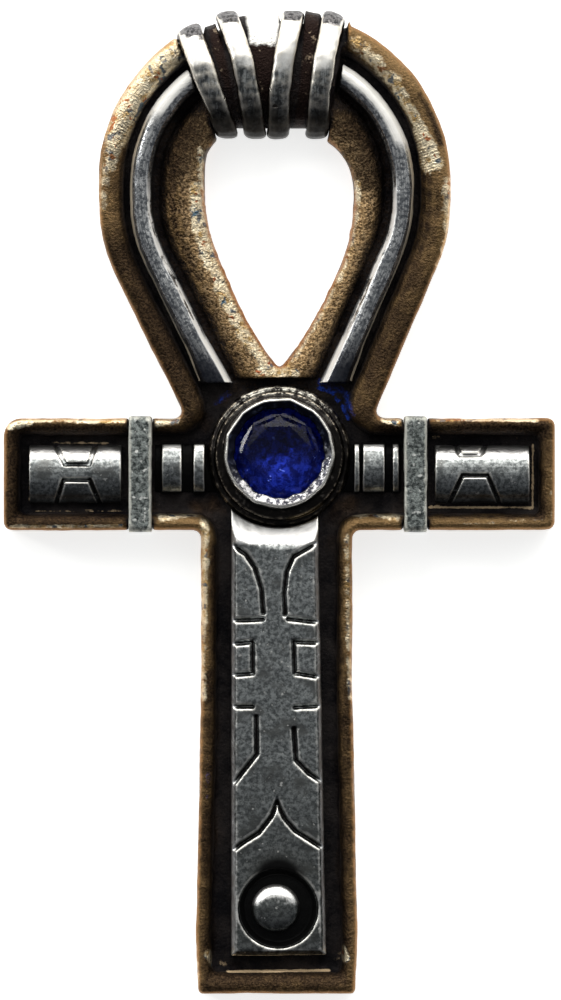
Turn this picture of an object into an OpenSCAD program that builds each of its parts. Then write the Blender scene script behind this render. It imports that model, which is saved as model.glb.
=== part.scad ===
// Ankh pendant, millimetres. +X to its right, +Y to the top of the loop, +Z out of its face.
// The origin is under the middle of its outline, on the flat back.

/* [Outline] */
// Length of the shaft below the crossbar
shaft_len = 21.2; // [18:0.2:26]
// Width of the shaft just below the crossbar
shaft_w = 6.9; // [6.7:0.1:7.4]
// Width of the shaft where its foot is widest
foot_w = 7.4; // [7:0.1:9]
// Width of the foot across its end
toe_w = 7.16; // [6.8:0.02:9]
// Length of the foot that narrows to its end
toe_len = 2.2; // [1.6:0.1:3]
// Length of the shaft that flares out to the foot
flare_len = 13.5; // [8:0.5:17]
// Height of the crossbar
arm_h = 5.1; // [4.8:0.1:6]
// Span of the crossbar from end to end
arm_span = 25.2; // [25:0.2:30]
// Height of the loop above the crossbar
loop_len = 18.7; // [17.8:0.1:22]
// Width of the loop
loop_w = 16.1; // [15.4:0.1:17.4]
// Straight stretch down the sides of the loop at its widest
loop_straight = 0.65; // [0.3:0.05:1.2]
// Width across the legs of the loop where they meet the crossbar
root_w = 8.5; // [8.2:0.1:9.4]
// Distance that the loop leans over to the left of the crossbar's middle
loop_lean = 0.22; // [0:0.02:0.5]
// Distance of the middle of the shaft to the left of the crossbar's middle
shaft_aside = 0.12; // [0:0.02:0.4]
// Rounding of the outer corners of the crossbar
corner_r = 0.35; // [0.2:0.05:0.6]
// Rounding of the upper corner of the left arm, which is worn down
worn_corner_r = 0.75; // [0.3:0.05:0.9]
// Rounding of the corners of the foot
toe_corner_r = 0.2; // [0.15:0.05:0.5]
// Rounding of the inner corners, where shaft and loop leave the crossbar
crotch_r = 0.35; // [0.2:0.05:0.6]

/* [Casting] */
// Height of the rim above the back
rim_z = 2.6; // [2.4:0.05:3]
// Thickness of the floor inside the rim
floor_t = 1.5; // [1.2:0.05:1.7]
// Width of the rim round the left half of the loop
rim_left_w = 1.15; // [0.9:0.05:1.3]
// Width of the rim round the right half of the loop
rim_right_w = 1.4; // [0.9:0.05:1.5]
// Width of the rim along the crossbar
rim_arm_w = 0.75; // [0.6:0.05:1]
// Width of the rim down the shaft
rim_shaft_w = 0.7; // [0.6:0.05:0.95]
// Width of the rim across the foot
rim_foot_w = 1; // [0.7:0.05:1.4]
// Rounding of the outer top edge of the rim
rim_round = 0.28; // [0.15:0.01:0.29]
// Fall of the top of the rim from its crest, near the outer edge, to its inner edge
rim_fall = 0.5; // [0.3:0.05:0.7]
// Bevel of the edges of the back
back_bevel = 0.2; // [0.1:0.05:0.35]

/* [Eye] */
// Width of the eye of the loop
eye_w = 6.86; // [6:0.1:7.4]
// Height of metal between the eye and the top of the loop
crown_h = 5.6; // [5.2:0.1:6.4]
// Height of the tip of the eye above the crossbar
tip_rise = 2.25; // [2:0.05:3]
// Rounding of the roof corner of the eye on the right
roof_r = 2.7; // [2:0.05:2.9]
// Rounding of the roof corner of the eye on the left, under the first wrap
roof_left_r = 1.5; // [1:0.05:2]
// Rounding of the sides of the eye, where the straight sides turn inwards
hip_r = 7.4; // [5:0.2:9]
// Width of the metal below the tip of the eye
tip_w = 0.4; // [0.25:0.05:0.6]
// Height of the granular band round the eye above the back
band_z = 2.35; // [2.1:0.05:2.6]
// Width of the roll along the eye's edge of that band
band_roll = 0.45; // [0.2:0.05:0.6]
// Width of the slope along the wire's edge of that band
band_slope_w = 0.75; // [0.3:0.05:0.8]
// Height of that slope
band_slope_h = 0.55; // [0.3:0.05:0.7]
// Distance that the left side of the eye turns inwards sooner than its right side
eye_left_rise = 0.45; // [0:0.05:0.8]

/* [Wire] */
// Width of the wire
wire_w = 1.05; // [0.8:0.05:1.15]
// Height of the wire above the floor
wire_h = 1.2; // [0.8:0.05:1.4]
// Groove between the rim and the wire
outer_groove_w = 0.27; // [0.15:0.01:0.35]
// Groove between the wire and the band
inner_groove_w = 0.4; // [0.25:0.05:0.5]
// Height of the end of the wire above the top of the setting's flange
wire_end_rise = 0.05; // [0:0.05:0.8]
// Width of the wire at its end, where it broadens
wire_foot_w = 1.38; // [1:0.02:1.4]
// Length of the wire that broadens
wire_foot_len = 2.2; // [1:0.1:4]

/* [Wraps] */
// Width of a wrap
wrap_w = 1.02; // [0.8:0.01:1.04]
// Thickness of a wrap
wrap_t = 0.45; // [0.3:0.05:0.55]
// Spread of the wraps across the top of the loop, first to last
wrap_spread = 6.66; // [6.6:0.02:7]
// Height of the wrapped neck above the back
neck_z = 2.85; // [2.6:0.05:3.1]

/* [Setting and stone] */
// Diameter of the stone at its girdle
stone_d = 4.7; // [4.4:0.1:4.9]
// Diameter of the table of the stone
table_d = 2.6; // [2:0.1:3]
// Height of the crown from the girdle to the table
crown_cut_h = 0.66; // [0.4:0.02:0.9]
// Depth of the pavilion below the girdle
pavilion_h = 1.1; // [0.8:0.05:1.12]
// Height of the top of the girdle above the back
girdle_z = 2.78; // [2.75:0.01:2.95]
// Thickness of the girdle
girdle_t = 0.08; // [0.04:0.01:0.12]
// Outer diameter of the lip round the stone
lip_d = 5.12; // [5.1:0.02:5.3]
// Height of the top of the lip above the back
lip_z = 3.5; // [3.35:0.05:3.8]
// Width of the lip's lap over the edge of the stone
lip_lap = 0.27; // [0.15:0.01:0.35]
// Height of the middle of the stone above the middle of the flange
stone_rise = 0.12; // [0:0.01:0.16]
// Outer diameter of the flange of the setting
flange_d = 6.5; // [6:0.05:6.6]
// Height of the middle of the setting above the middle of the crossbar
setting_rise = 0.85; // [0.6:0.05:1.1]

/* [Shaft plate] */
// Width of the plate at the crossbar
plate_w = 3.98; // [3.6:0.02:4.1]
// Width of the plate at its foot
plate_foot_w = 4.34; // [4:0.02:4.8]
// Height of the plate above the floor
plate_h = 1; // [0.8:0.05:1.2]
// Distance that the foot of the plate leans to the right of its top
plate_lean = 0.18; // [0:0.02:0.24]
// Width of the bevel along the sides of the plate
plate_bevel = 0.24; // [0.1:0.02:0.35]
// Channel between the foot of the plate and the rim
plate_foot_gap = 0.75; // [0.4:0.05:1.5]
// Width of the sloping end of the plate below the setting
plate_slope = 1.1; // [0.5:0.05:1.4]
// Drop of that sloping end from its top to the setting
plate_drop = 0.42; // [0.2:0.02:0.7]
// Width of an engraved line
engrave_w = 0.3; // [0.18:0.02:0.4]
// Depth of an engraved line
engrave_t = 0.2; // [0.1:0.01:0.28]
// Diameter of the dish near the foot of the plate
dish_d = 3.74; // [3:0.02:3.8]
// Depth of the dish
dish_h = 0.5; // [0.3:0.02:0.6]
// Height of the middle of the dish above the foot of the plate
dish_rise = 2.15; // [1.9:0.05:3]
// Diameter of the boss in the dish
boss_d = 2.2; // [1.6:0.1:2.4]
// Distance of the boss to the left of the middle of the dish
boss_aside = 0.12; // [0:0.02:0.2]
// Height of the boss above the floor of the dish
boss_h = 0.8; // [0.5:0.05:1]

/* [Crossbar inlays] */
// Width across a barrel inlay
barrel_w = 2.65; // [2.2:0.05:2.75]
// Height of a barrel inlay above the floor
barrel_h = 1.1; // [0.9:0.05:1.3]
// Radius of the rounded top of a barrel inlay
barrel_r = 1.5; // [1.45:0.05:2.2]
// Channel between a barrel inlay and the rim at the end of the arm
barrel_end_gap = 0.42; // [0.2:0.02:0.8]
// Channel between a barrel inlay and the collar
barrel_collar_gap = 0.35; // [0.2:0.05:0.8]
// Distance from the middle of the crossbar to the middle of a collar
collar_x = 6.29; // [6.26:0.01:6.6]
// Distance that both collars stand to the left of an even place
collar_aside = 0.06; // [0:0.01:0.1]
// Width of a collar
collar_w = 1.05; // [0.8:0.05:1.1]
// Thickness of a collar
collar_t = 0.45; // [0.3:0.05:0.5]
// Distance that a collar stands out beyond the sides of the arm
collar_proud = 0.1; // [0.05:0.01:0.2]
// Height of a rib above the floor
rib_h = 1; // [0.8:0.05:1.1]
// Width across a rib
rib_w = 2.35; // [2.1:0.05:2.4]
// Height of the middle of the ribs above the middle of the crossbar
rib_rise = 0.28; // [0:0.02:0.32]
// Depth of the slots between the ribs
slot_depth = 0.7; // [0.4:0.02:0.72]

/* [Hidden] */

$fn = 64;

// Clearances: side_gap beside an inlay or a strap, seat_gap under a seated piece
side_gap = 0.04;
seat_gap = 0.03;

// Steps of the arcs of outlines: a fine one for broad curves, a coarse one for corners
fine_deg = 5;
coarse_deg = 22.5;
broad_r = 2;
least_r = 0.02;

// Heights along the length of the pendant
pendant_len = shaft_len + arm_h + loop_len;
foot_y = -pendant_len/2;
top_y = pendant_len/2;
bar_low_y = foot_y + shaft_len;
bar_top_y = bar_low_y + arm_h;
bar_y = (bar_low_y + bar_top_y)/2;
setting_y = bar_y + setting_rise;
stone_y = setting_y + stone_rise;
loop_y = top_y - loop_w/2 - loop_straight;
seat_z = floor_t + seat_gap;
loop_x = -loop_lean;
shaft_x = -shaft_aside;

// A leg runs from its root at the crossbar, tangent to the lower arc of the loop
function leg_deg(root_x) =
    asin(loop_w/2/norm([root_x, loop_y - bar_top_y])) - atan2(root_x, loop_y - bar_top_y);
right_leg_deg = leg_deg(root_w/2 - loop_x);
left_leg_deg = leg_deg(root_w/2 + loop_x);
function leg_top_y(deg) = loop_y - loop_w/2*tan(deg/2);
// The top of the loop is flat for a short way under the wraps
crown_flat = 0.4;
crown_r = loop_w/2 - crown_flat/2;
// Radii of the slight bends where the shaft starts to flare and where its foot is widest
flare_r = 60;
toe_r = 15;

function left_of(v) = [-v.y, v.x];
function heading(a, b) = (b - a)/norm(b - a);
function turn_deg(a, b) = atan2(a.x*b.y - a.y*b.x, a*b);
function turned(v, deg) = [v.x*cos(deg) - v.y*sin(deg), v.x*sin(deg) + v.y*cos(deg)];
function steps_for(deg, r) = max(1, ceil(abs(deg)/(r > broad_r ? fine_deg : coarse_deg) - 0.01));
function mirrored(p) = [-p.x, p.y];
function backwards(list) = [for (i = [len(list) - 1:-1:0]) list[i]];
function reflected(points) = [for (p = backwards(points)) mirrored(p)];
function moved(points, x) = [for (p = points) p + [x, 0]];

// The shift that moves a corner in by in1 from one side and in2 from the next, given their inward normals
function corner_shift(n1, n2, in1, in2) =
    let (c = n1*n2)
    c > 0.99 ? (n1 + n2)*(in1 + in2)/4
        : ((in1 - in2*c)*n1 + (in2 - in1*c)*n2)/(1 - c*c);

// One rounded corner of an outline, drawn as an arc
function corner_arc(before, at, after, r, in1, in2) =
    let (
        n1 = left_of(heading(before, at)),
        n2 = left_of(heading(at, after)),
        deg = turn_deg(n1, n2),
        way = deg > 0 ? 1 : -1,
        arc_r = max(least_r, r - way*(in1 + in2)/2),
        middle = at + corner_shift(n1, n2, in1, in2) + way*arc_r*(n1 + n2)/(1 + n1*n2),
        steps = steps_for(deg, r)
    )
    [for (k = [0:steps]) middle - way*arc_r*turned(n1, deg*k/steps)];

// A closed outline with every side moved in by inset + share * its rim width
function outline(corners, radii, rims, inset, share) =
    let (n = len(corners))
    [for (i = [0:n - 1]) each corner_arc(
        corners[(i + n - 1)%n], corners[i], corners[(i + 1)%n], radii[i],
        inset + share*rims[(i + n - 1)%n], inset + share*rims[i])];

// Outline of the whole casting, from the foot up its right side and down its left side
shaft_corners = [
    [toe_w/2, foot_y],
    [foot_w/2, foot_y + toe_len],
    [shaft_w/2, foot_y + flare_len],
    [shaft_w/2, bar_low_y]];
arm_corners = [
    [arm_span/2, bar_low_y],
    [arm_span/2, bar_top_y],
    [root_w/2, bar_top_y]];
crown_corners = moved([
    [loop_w/2, leg_top_y(right_leg_deg)],
    [loop_w/2, top_y],
    [-loop_w/2, top_y],
    [-loop_w/2, leg_top_y(left_leg_deg)]], loop_x);
body_corners = concat(moved(shaft_corners, shaft_x), arm_corners, crown_corners,
    reflected(arm_corners), moved(reflected(shaft_corners), shaft_x));
shaft_radii = [toe_corner_r, toe_r, flare_r, crotch_r];
right_radii = concat(shaft_radii, [corner_r, corner_r, crotch_r]);
left_radii = concat([crotch_r, worn_corner_r, corner_r], backwards(shaft_radii));
crown_radii = [loop_w/2, crown_r, crown_r, loop_w/2];
body_radii = concat(right_radii, crown_radii, left_radii);
lower_rims = [rim_shaft_w, rim_shaft_w, rim_shaft_w, rim_arm_w, rim_arm_w, rim_arm_w];
crown_rims = [rim_right_w, rim_right_w, (rim_left_w + rim_right_w)/2, rim_left_w, rim_left_w];
body_rims = concat(lower_rims, crown_rims, backwards(lower_rims), [rim_foot_w]);
function body_outline(inset, share) = outline(body_corners, body_radii, body_rims, inset, share);

// Outline of the loop inside its rim, its legs run on down until they meet
loop_drop = root_w/(tan(right_leg_deg) + tan(left_leg_deg));
loop_corners = concat([[root_w/2 - loop_drop*tan(right_leg_deg), bar_top_y - loop_drop]], crown_corners);
apex_r = 0.3;
loop_radii = concat([apex_r], crown_radii);
function loop_outline(inset) = outline(loop_corners, loop_radii, crown_rims, inset, 1);

// Outline of the eye: a pointed lower end, and a knee, a hip and a roof corner on each side
eye_top_y = top_y - crown_h;
eye_tip_y = bar_top_y + tip_rise;
eye_side_deg = (left_leg_deg + right_leg_deg)/2;
eye_hip_y = loop_y - hip_r*tan(eye_side_deg/2);
knee_share = 0.4;
knee_x = eye_w/2*knee_share;
knee_y = eye_hip_y - (eye_w/2 - knee_x)/tan(eye_side_deg);
function eye_side(rise) = [[knee_x, knee_y + rise*knee_share], [eye_w/2, eye_hip_y + rise],
    [eye_w/2, eye_top_y]];
knee_r = 12;
tip_r = 0.2;
eye_corners = concat([[0, eye_tip_y]], eye_side(0), reflected(eye_side(eye_left_rise)));
eye_radii = [tip_r, knee_r, hip_r, roof_r, roof_left_r, hip_r, knee_r];
no_rims = [for (r = eye_radii) 0];
function eye_outline(widen) = outline(eye_corners, eye_radii, no_rims, -widen, 0);

// Faces between closed rings of n points each, m rings in all. Looped joins the last ring to the first
function ring_faces(n, m, looped) =
    [for (k = [0:m - (looped ? 1 : 2)]) for (j = [0:n - 1])
        let (
            a = k*n + j,
            b = k*n + (j + 1)%n,
            c = ((k + 1)%m)*n + (j + 1)%n,
            d = ((k + 1)%m)*n + j
        )
        each [[a, c, b], [a, d, c]]];

// A solid through rings of points. Its two end rings are flat and convex, or it closes on itself
module skinned(rings, looped = false) {
    n = len(rings[0]);
    m = len(rings);
    caps = looped ? [] : [
        [for (j = [0:n - 1]) j],
        [for (j = [n - 1:-1:0]) (m - 1)*n + j]];
    polyhedron(points = [for (r = rings) each r], faces = concat(ring_faces(n, m, looped), caps));
}

function raised(points, z) = [for (p = points) [p.x, p.y, z]];

// Rings of a bar along a path in the plane. Rows of the profile are [across, up], scaled by the bar's
// width at each place and by its height
function swept(path, widths, height, profile) =
    let (n = len(path))
    [for (i = [0:n - 1])
        let (side = left_of(heading(path[max(0, i - 1)], path[min(n - 1, i + 1)])))
        [for (q = profile)
            let (at = path[i] + side*q.x*widths[i])
            [at.x, at.y, q.y*height]]];

// The rim round the casting, from its back edge up over the top and down into the floor.
// Columns: inset, share of the rim's width, height
rim_root_z = 0.3;
rim_profile = [
    [back_bevel, 0, 0],
    [0, 0, back_bevel],
    [0, 0, rim_z - rim_round],
    [rim_round*0.3, 0, rim_z - rim_round*0.3],
    [rim_round, 0, rim_z],
    [0, 0.55, rim_z - rim_fall*0.1],
    [0, 0.8, rim_z - rim_fall*0.4],
    [0, 1, rim_z - rim_fall],
    [0, 1, rim_root_z],
    [-rim_round, 1, 0]];

module rim() {
    skinned([for (q = rim_profile) raised(body_outline(q[0], q[1]), q[2])], true);
}

// The floor reaches half way under the rim
module floor_slab() {
    linear_extrude(floor_t) polygon(body_outline(0, 0.5));
}

// From the rim inwards lie the outer groove, the wire, the inner groove and the band round the eye
wire_inset = outer_groove_w + wire_w/2;
band_inset = wire_inset + wire_w/2 + inner_groove_w;
band_root_z = 0.4;

// The band ends just below the tip of the eye
module band() {
    difference() {
        skinned([
            raised(loop_outline(band_inset), band_root_z),
            raised(loop_outline(band_inset), band_z - band_slope_h),
            raised(loop_outline(band_inset + band_slope_w*0.35), band_z - band_slope_h*0.35),
            raised(loop_outline(band_inset + band_slope_w), band_z)]);
        translate([-root_w, foot_y, floor_t]) cube([root_w*2, eye_tip_y - tip_w - foot_y, band_z]);
    }
}

// The eye, cut right through and rolled open at the front and the back
over = 1;
module eye_cut() {
    skinned([
        raised(eye_outline(back_bevel + over), -over),
        raised(eye_outline(0), back_bevel),
        raised(eye_outline(0), band_z - band_roll*0.8),
        raised(eye_outline(band_roll*0.3), band_z - band_roll*0.28),
        raised(eye_outline(band_roll), band_z + seat_gap),
        raised(eye_outline(band_roll + over), band_z + over)]);
}

// Wraps, from the left. Columns: middle at the top and at the roof of the eye as shares of the
// spread, and how far the wrap's top stands above the loop's outline
TOP = 0;
ROOF = 1;
LIFT = 2;
wrap_rows = [
    [-0.595, -0.375, 0.14],
    [-0.324, -0.173, 0],
    [0.095, 0.01, 0],
    [0.384, 0.264, 0.1]];

// The neck under them is waisted, so that their outer faces come flush with the loop and the back
roof_waist = 0.2;
neck_waist = wrap_t + side_gap;
neck_back_z = wrap_t + side_gap;
function crown_y(x) = loop_y + loop_straight + sqrt(max(0, pow(loop_w/2, 2) - pow(x - loop_x, 2)));

// Line over the neck that a wrap follows, from the roof of the eye to the crown, moved sideways by aside
function neck_line(row, aside) =
    let (
        side = aside/cos(atan((row[TOP] - row[ROOF])*wrap_spread/crown_h)),
        foot_x = row[ROOF]*wrap_spread + side,
        top_x = row[TOP]*wrap_spread + side
    )
    [[foot_x, eye_top_y + roof_waist], [top_x, crown_y(top_x) - neck_waist]];

// Section of the neck in its own plane, [along from the roof of the eye, height]: flat behind, domed in front
dome_power = 2.3;
dome_spring = 0.35;
back_corner = 0.3;
function dome(span, low, high) =
    let (spring = low + (high - low)*dome_spring)
    concat(
        [[span - back_corner, low], [span, low + back_corner]],
        [for (a = [0:12:180])
            let (
                across = sign(cos(a))*pow(abs(cos(a)), 2/dome_power),
                up = pow(abs(sin(a)), 2/dome_power)
            )
            [span/2 + span/2*across, spring + (high - spring)*up]],
        [[0, low + back_corner], [back_corner, low]]);

// A closed section moved out by a distance, each point along the mean of its sides' normals
function grown(points, out) =
    let (n = len(points))
    [for (i = [0:n - 1])
        let (
            a = heading(points[(i + n - 1)%n], points[i]),
            b = heading(points[i], points[(i + 1)%n]),
            way = -left_of(a + b)
        )
        points[i] + way*out*2/(way*way)];

// A section placed in the plane that stands on a line
function stood(section, line) =
    [for (q = section)
        let (at = line[0] + heading(line[0], line[1])*q.x)
        [at.x, at.y, q.y]];

// The first and last lines of the neck, just outside the outer wraps
neck_left = neck_line(wrap_rows[0], -wrap_w/2 - side_gap);
neck_right = neck_line(wrap_rows[3], wrap_w/2 + side_gap);
cut_over = 3;

module neck_cut() {
    l = heading(neck_left[0], neck_left[1])*cut_over;
    r = heading(neck_right[0], neck_right[1])*cut_over;
    translate([0, 0, -over]) linear_extrude(rim_z + over*2)
        polygon([neck_left[0] - l, neck_right[0] - r, neck_right[1] + r, neck_left[1] + l]);
}

// The neck runs from one cut to the other, along the edges and the middle of each wrap.
// Its ends drop below the floor and run into the casting
neck_root_z = floor_t - seat_gap*2;
neck_tuck = 0.12;
neck_spans = [for (row = wrap_rows) for (share = [-0.5, 0, 0.5]) neck_line(row, share*wrap_w)];

module neck() {
    function end_line(row, way, out) = neck_line(row, way*(wrap_w/2 + side_gap + out));
    function low_dome(line) = stood(dome(norm(line[1] - line[0]), neck_back_z, neck_root_z), line);
    function high_dome(line) = stood(dome(norm(line[1] - line[0]), neck_back_z, neck_z), line);
    first = wrap_rows[0];
    last = wrap_rows[3];
    skinned(concat(
        [low_dome(end_line(first, -1, neck_tuck)), low_dome(end_line(first, -1, -neck_tuck*0.4))],
        [high_dome(end_line(first, -1, -neck_tuck*1.2))],
        [for (k = [1:len(neck_spans) - 2]) high_dome(neck_spans[k])],
        [high_dome(end_line(last, 1, -neck_tuck*1.2))],
        [low_dome(end_line(last, 1, -neck_tuck*0.4)), low_dome(end_line(last, 1, neck_tuck))]));
}

// A waist round the arm where a collar sits
module collar_seat(x) {
    difference() {
        translate([x - collar_w/2 - side_gap, bar_low_y - over, -over])
            cube([collar_w + side_gap*2, arm_h + over*2, rim_z + over*2]);
        translate([x - collar_w, bar_low_y - collar_proud + collar_t + side_gap, collar_t + side_gap])
            cube([collar_w*2, arm_h + 2*(collar_proud - collar_t - side_gap), rim_z - collar_t - side_gap*2]);
    }
}

module frame() {
    color("peru") union() {
        difference() {
            union() {
                rim();
                floor_slab();
                band();
            }
            eye_cut();
            neck_cut();
            translate([0, setting_y, floor_t]) cylinder(h = rim_z, d = flange_d + side_gap*2);
            collar_seat(-collar_at(LEFT));
            collar_seat(collar_at(RIGHT));
        }
        neck();
    }
}

// A wire starts against the first wrap, follows the arc of the loop and its leg, and ends above the setting
wire_top = [0, loop_y + loop_straight];
wire_start_gap = 0.05;
wire_end_y = setting_y + flange_d/2 + wire_end_rise;

// Where a line crosses the circle of radius r about the middle of the loop's upper arc, on the right
function meet_point(line, r) =
    let (
        along = heading(line[0], line[1]),
        miss = (line[0] - wire_top)*left_of(along)
    )
    wire_top + left_of(along)*miss + along*sqrt(r*r - miss*miss);

// Half round with a narrow flat top. Columns: across and up, as shares of width and height
wire_profile = [[-0.5, 0], [0.5, 0], [0.5, 0.5], [0.43, 0.76], [0.28, 0.95], [0.1, 1],
    [-0.1, 1], [-0.28, 0.95], [-0.43, 0.76], [-0.5, 0.5]];

// The first section is cut to the slant of the wrap that it runs up to, the last one level
slant_deg = 4;

module wire(line, rim_w, deg) {
    arc_r = loop_w/2 - rim_w - wire_inset;
    leg_way = [-sin(deg), -cos(deg)];
    leg_side = left_of(leg_way);
    end = [for (p = line) p + [wire_start_gap, 0]];
    middle = meet_point(end, arc_r) - wire_top;
    start_deg = atan2(middle.y, middle.x) - slant_deg;
    leg_start = [0, loop_y] + arc_r*[cos(deg), -sin(deg)];
    leg_len = (leg_start.y - wire_end_y)/cos(deg);
    path = concat(
        [for (k = [0:12]) wire_top + arc_r*turned([1, 0], start_deg*(1 - k/12))],
        [for (k = [1:4]) [0, loop_y] + arc_r*turned([1, 0], -deg*k/4)],
        [for (k = [1:4]) leg_start + leg_way*(leg_len - wire_foot_len)*k/4],
        [for (k = [1:4]) leg_start + leg_way*(leg_len - wire_foot_len*(1 - k/4))]);
    n = len(path);
    widths = [for (i = [0:n - 1]) wire_w + (wire_foot_w - wire_w)*max(0, i - n + 5)/4];
    first = [for (q = wire_profile)
        let (p = meet_point(end, arc_r + q.x*wire_w))
        [p.x, p.y, q.y*wire_h]];
    last = [for (q = wire_profile)
        let (p = path[n - 1] + q.x*wire_foot_w*(leg_side - leg_way*leg_side.y/leg_way.y))
        [p.x, p.y, q.y*wire_h]];
    rings = swept(path, widths, wire_h, wire_profile);
    translate([0, 0, seat_z]) skinned(concat([first], [for (i = [0:n - 2]) rings[i]], [last]));
}

// Both are laid out about the middle of the loop
module wire_right() {
    color("silver") translate([loop_x, 0, 0]) wire(moved(neck_right, -loop_x), rim_right_w, right_leg_deg);
}

module wire_left() {
    line = [for (p = moved(neck_left, -loop_x)) mirrored(p)];
    color("silver") translate([loop_x, 0, 0]) mirror([1, 0, 0]) wire(line, rim_left_w, left_leg_deg);
}

// Section of a wrap. Columns: across as a share of its width, out as a share of its thickness
wrap_profile = [[-0.5, 0], [-0.5, 0.55], [-0.4, 0.86], [-0.18, 1],
    [0.18, 1], [0.4, 0.86], [0.5, 0.55], [0.5, 0]];

module wrap(row) {
    color("silver") skinned([for (q = wrap_profile)
        let (
            on_neck = neck_line(row, wrap_w*q.x),
            line = [on_neck[0], on_neck[1] + [0, row[LIFT]]],
            inner = grown(dome(norm(line[1] - line[0]), neck_back_z, neck_z), side_gap)
        )
        stood(grown(inner, wrap_t*q.y), line)], true);
}

// The stone: a round brilliant. Its rings turn by half a facet from one to the next
FACETS = 8;
stone_r = stone_d/2;
star_share = 0.42;
lower_share = 0.3;
function stone_ring(r, z, n, half) =
    [for (k = [0:n - 1]) let (a = (k + half/2)*360/n) [r*sin(a), r*cos(a), z]];

module stone() {
    table_z = girdle_z + crown_cut_h;
    culet_z = girdle_z - girdle_t - pavilion_h;
    star_r = table_d/2 + (stone_r - table_d/2)*star_share;
    low_r = stone_r*lower_share;
    low_z = culet_z + pavilion_h*lower_share;
    table = stone_ring(table_d/2, table_z, FACETS, 1);
    star = stone_ring(star_r, table_z - crown_cut_h*star_share*0.9, FACETS, 0);
    girdle = stone_ring(stone_r, girdle_z, FACETS*2, 0);
    base = stone_ring(stone_r, girdle_z - girdle_t, FACETS*2, 0);
    low = stone_ring(low_r, low_z, FACETS, 1);
    s = FACETS;
    g = s*2;
    b = g + s*2;
    l = b + s*2;
    faces = concat(
        [[for (k = [0:s - 1]) k]],
        [for (k = [0:s - 1]) each [
            [s + k, k, (k + s - 1)%s],
            [s + k, s + (k + 1)%s, k],
            [g + 2*k, s + k, g + (2*k + s*2 - 1)%(s*2)],
            [g + 2*k, g + 2*k + 1, s + k],
            [s + k, g + 2*k + 1, s + (k + 1)%s],
            [b + 2*k, b + 2*k + 1, g + 2*k + 1],
            [b + 2*k, g + 2*k + 1, g + 2*k],
            [b + 2*k + 1, b + (2*k + 2)%(s*2), g + (2*k + 2)%(s*2)],
            [b + 2*k + 1, g + (2*k + 2)%(s*2), g + 2*k + 1],
            [b + 2*k + 1, b + 2*k, l + k],
            [b + (2*k + 2)%(s*2), b + 2*k + 1, l + k],
            [b + (2*k + 2)%(s*2), l + k, l + (k + 1)%s],
            [l + (k + 1)%s, l + k, l + s]]]);
    color("mediumblue") translate([0, stone_y, 0])
        polyhedron(points = concat(table, star, girdle, base, low, [[0, 0, culet_z]]), faces = faces);
}

// The setting: a stepped flange, and in it a cup whose thin lip slopes in to the edge of the stone
crown_slope = crown_cut_h/(stone_r - table_d/2);
pavilion_slope = pavilion_h/stone_r;
lip_r = lip_d/2;
lip_round = 0.13;
throat_r = stone_r - lip_lap;
bore_r = stone_r*0.85;
flange_t = 0.42;
step_r = (lip_r + flange_d/2)/2;
step_z = seat_z + 0.95;
under_z = girdle_z - girdle_t - side_gap;

module flange() {
    rotate_extrude() polygon([
        [bore_r, seat_z],
        [flange_d/2, seat_z],
        [flange_d/2, seat_z + flange_t],
        [flange_d/2 - lip_round, seat_z + flange_t + lip_round],
        [step_r + lip_round/2, seat_z + flange_t + lip_round],
        [step_r, step_z],
        [bore_r + lip_round, step_z + lip_round]]);
}

module cup() {
    rotate_extrude() polygon([
        [bore_r, seat_z],
        [lip_r, seat_z],
        [lip_r, lip_z - lip_round],
        [lip_r - lip_round*0.35, lip_z - lip_round*0.2],
        [lip_r - lip_round, lip_z],
        [lip_r - lip_round*1.5, lip_z - lip_round*0.4],
        [throat_r, lip_z - lip_round*1.9],
        [throat_r, girdle_z + lip_lap*crown_slope + side_gap*2],
        [stone_r + side_gap, girdle_z + side_gap],
        [stone_r + side_gap, under_z],
        [bore_r, under_z - (stone_r - bore_r)*pavilion_slope]]);
}

module bezel() {
    color("silver") union() {
        difference() {
            translate([0, setting_y, 0]) flange();
            translate([0, stone_y, seat_z - over]) cylinder(h = lip_z, r = (bore_r + lip_r)/2);
        }
        translate([0, stone_y, 0]) cup();
    }
}

// The plate tapers up the shaft and is bevelled along its sides
plate_low_y = foot_y + rim_foot_w + plate_foot_gap;
plate_top_y = bar_low_y;
plate_len = plate_top_y - plate_low_y;
plate_z = seat_z + plate_h;
// The blank runs on under the setting, which is then cut out of it
blank_over = flange_d/4;
function plate_half(y) = plate_w/2 + (plate_foot_w - plate_w)/2*(plate_top_y - y)/plate_len;
function plate_ring(z, in) =
    let (low = plate_low_y + in, high = plate_top_y + blank_over)
    [[-plate_half(low) + in, low, z], [plate_half(low) - in, low, z],
        [plate_half(high) - in, high, z], [-plate_half(high) + in, high, z]];

// Engraved lines of the plate. Each point is [share of the half width, share of the length down from the top]
plate_lines = [
    [[-1.08, 0.026], [-0.66, 0.056], [-0.46, 0.088], [-0.31, 0.138], [-0.27, 0.2]],
    [[1.08, 0.024], [0.42, 0.062], [0.26, 0.098], [0.2, 0.147], [0.22, 0.204]],
    [[-1.08, 0.212], [-0.24, 0.209]],
    [[0.24, 0.208], [1.08, 0.219]],
    [[-1.08, 0.267], [-0.52, 0.263], [-0.52, 0.336], [-1.08, 0.34]],
    [[1.08, 0.267], [0.4, 0.263], [0.42, 0.336], [1.08, 0.348]],
    [[-1.08, 0.414], [-0.48, 0.414]],
    [[0.36, 0.417], [1.08, 0.414]],
    [[-0.45, 0.433], [-0.44, 0.525], [-0.86, 0.582], [-1.08, 0.612]],
    [[0.38, 0.462], [0.42, 0.54], [0.7, 0.572], [1.08, 0.6]],
    [[-1.08, 0.762], [-0.8, 0.737], [-0.4, 0.71], [-0.13, 0.672], [0, 0.64],
        [0.15, 0.676], [0.38, 0.706], [0.74, 0.732], [1.08, 0.756]]];

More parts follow.
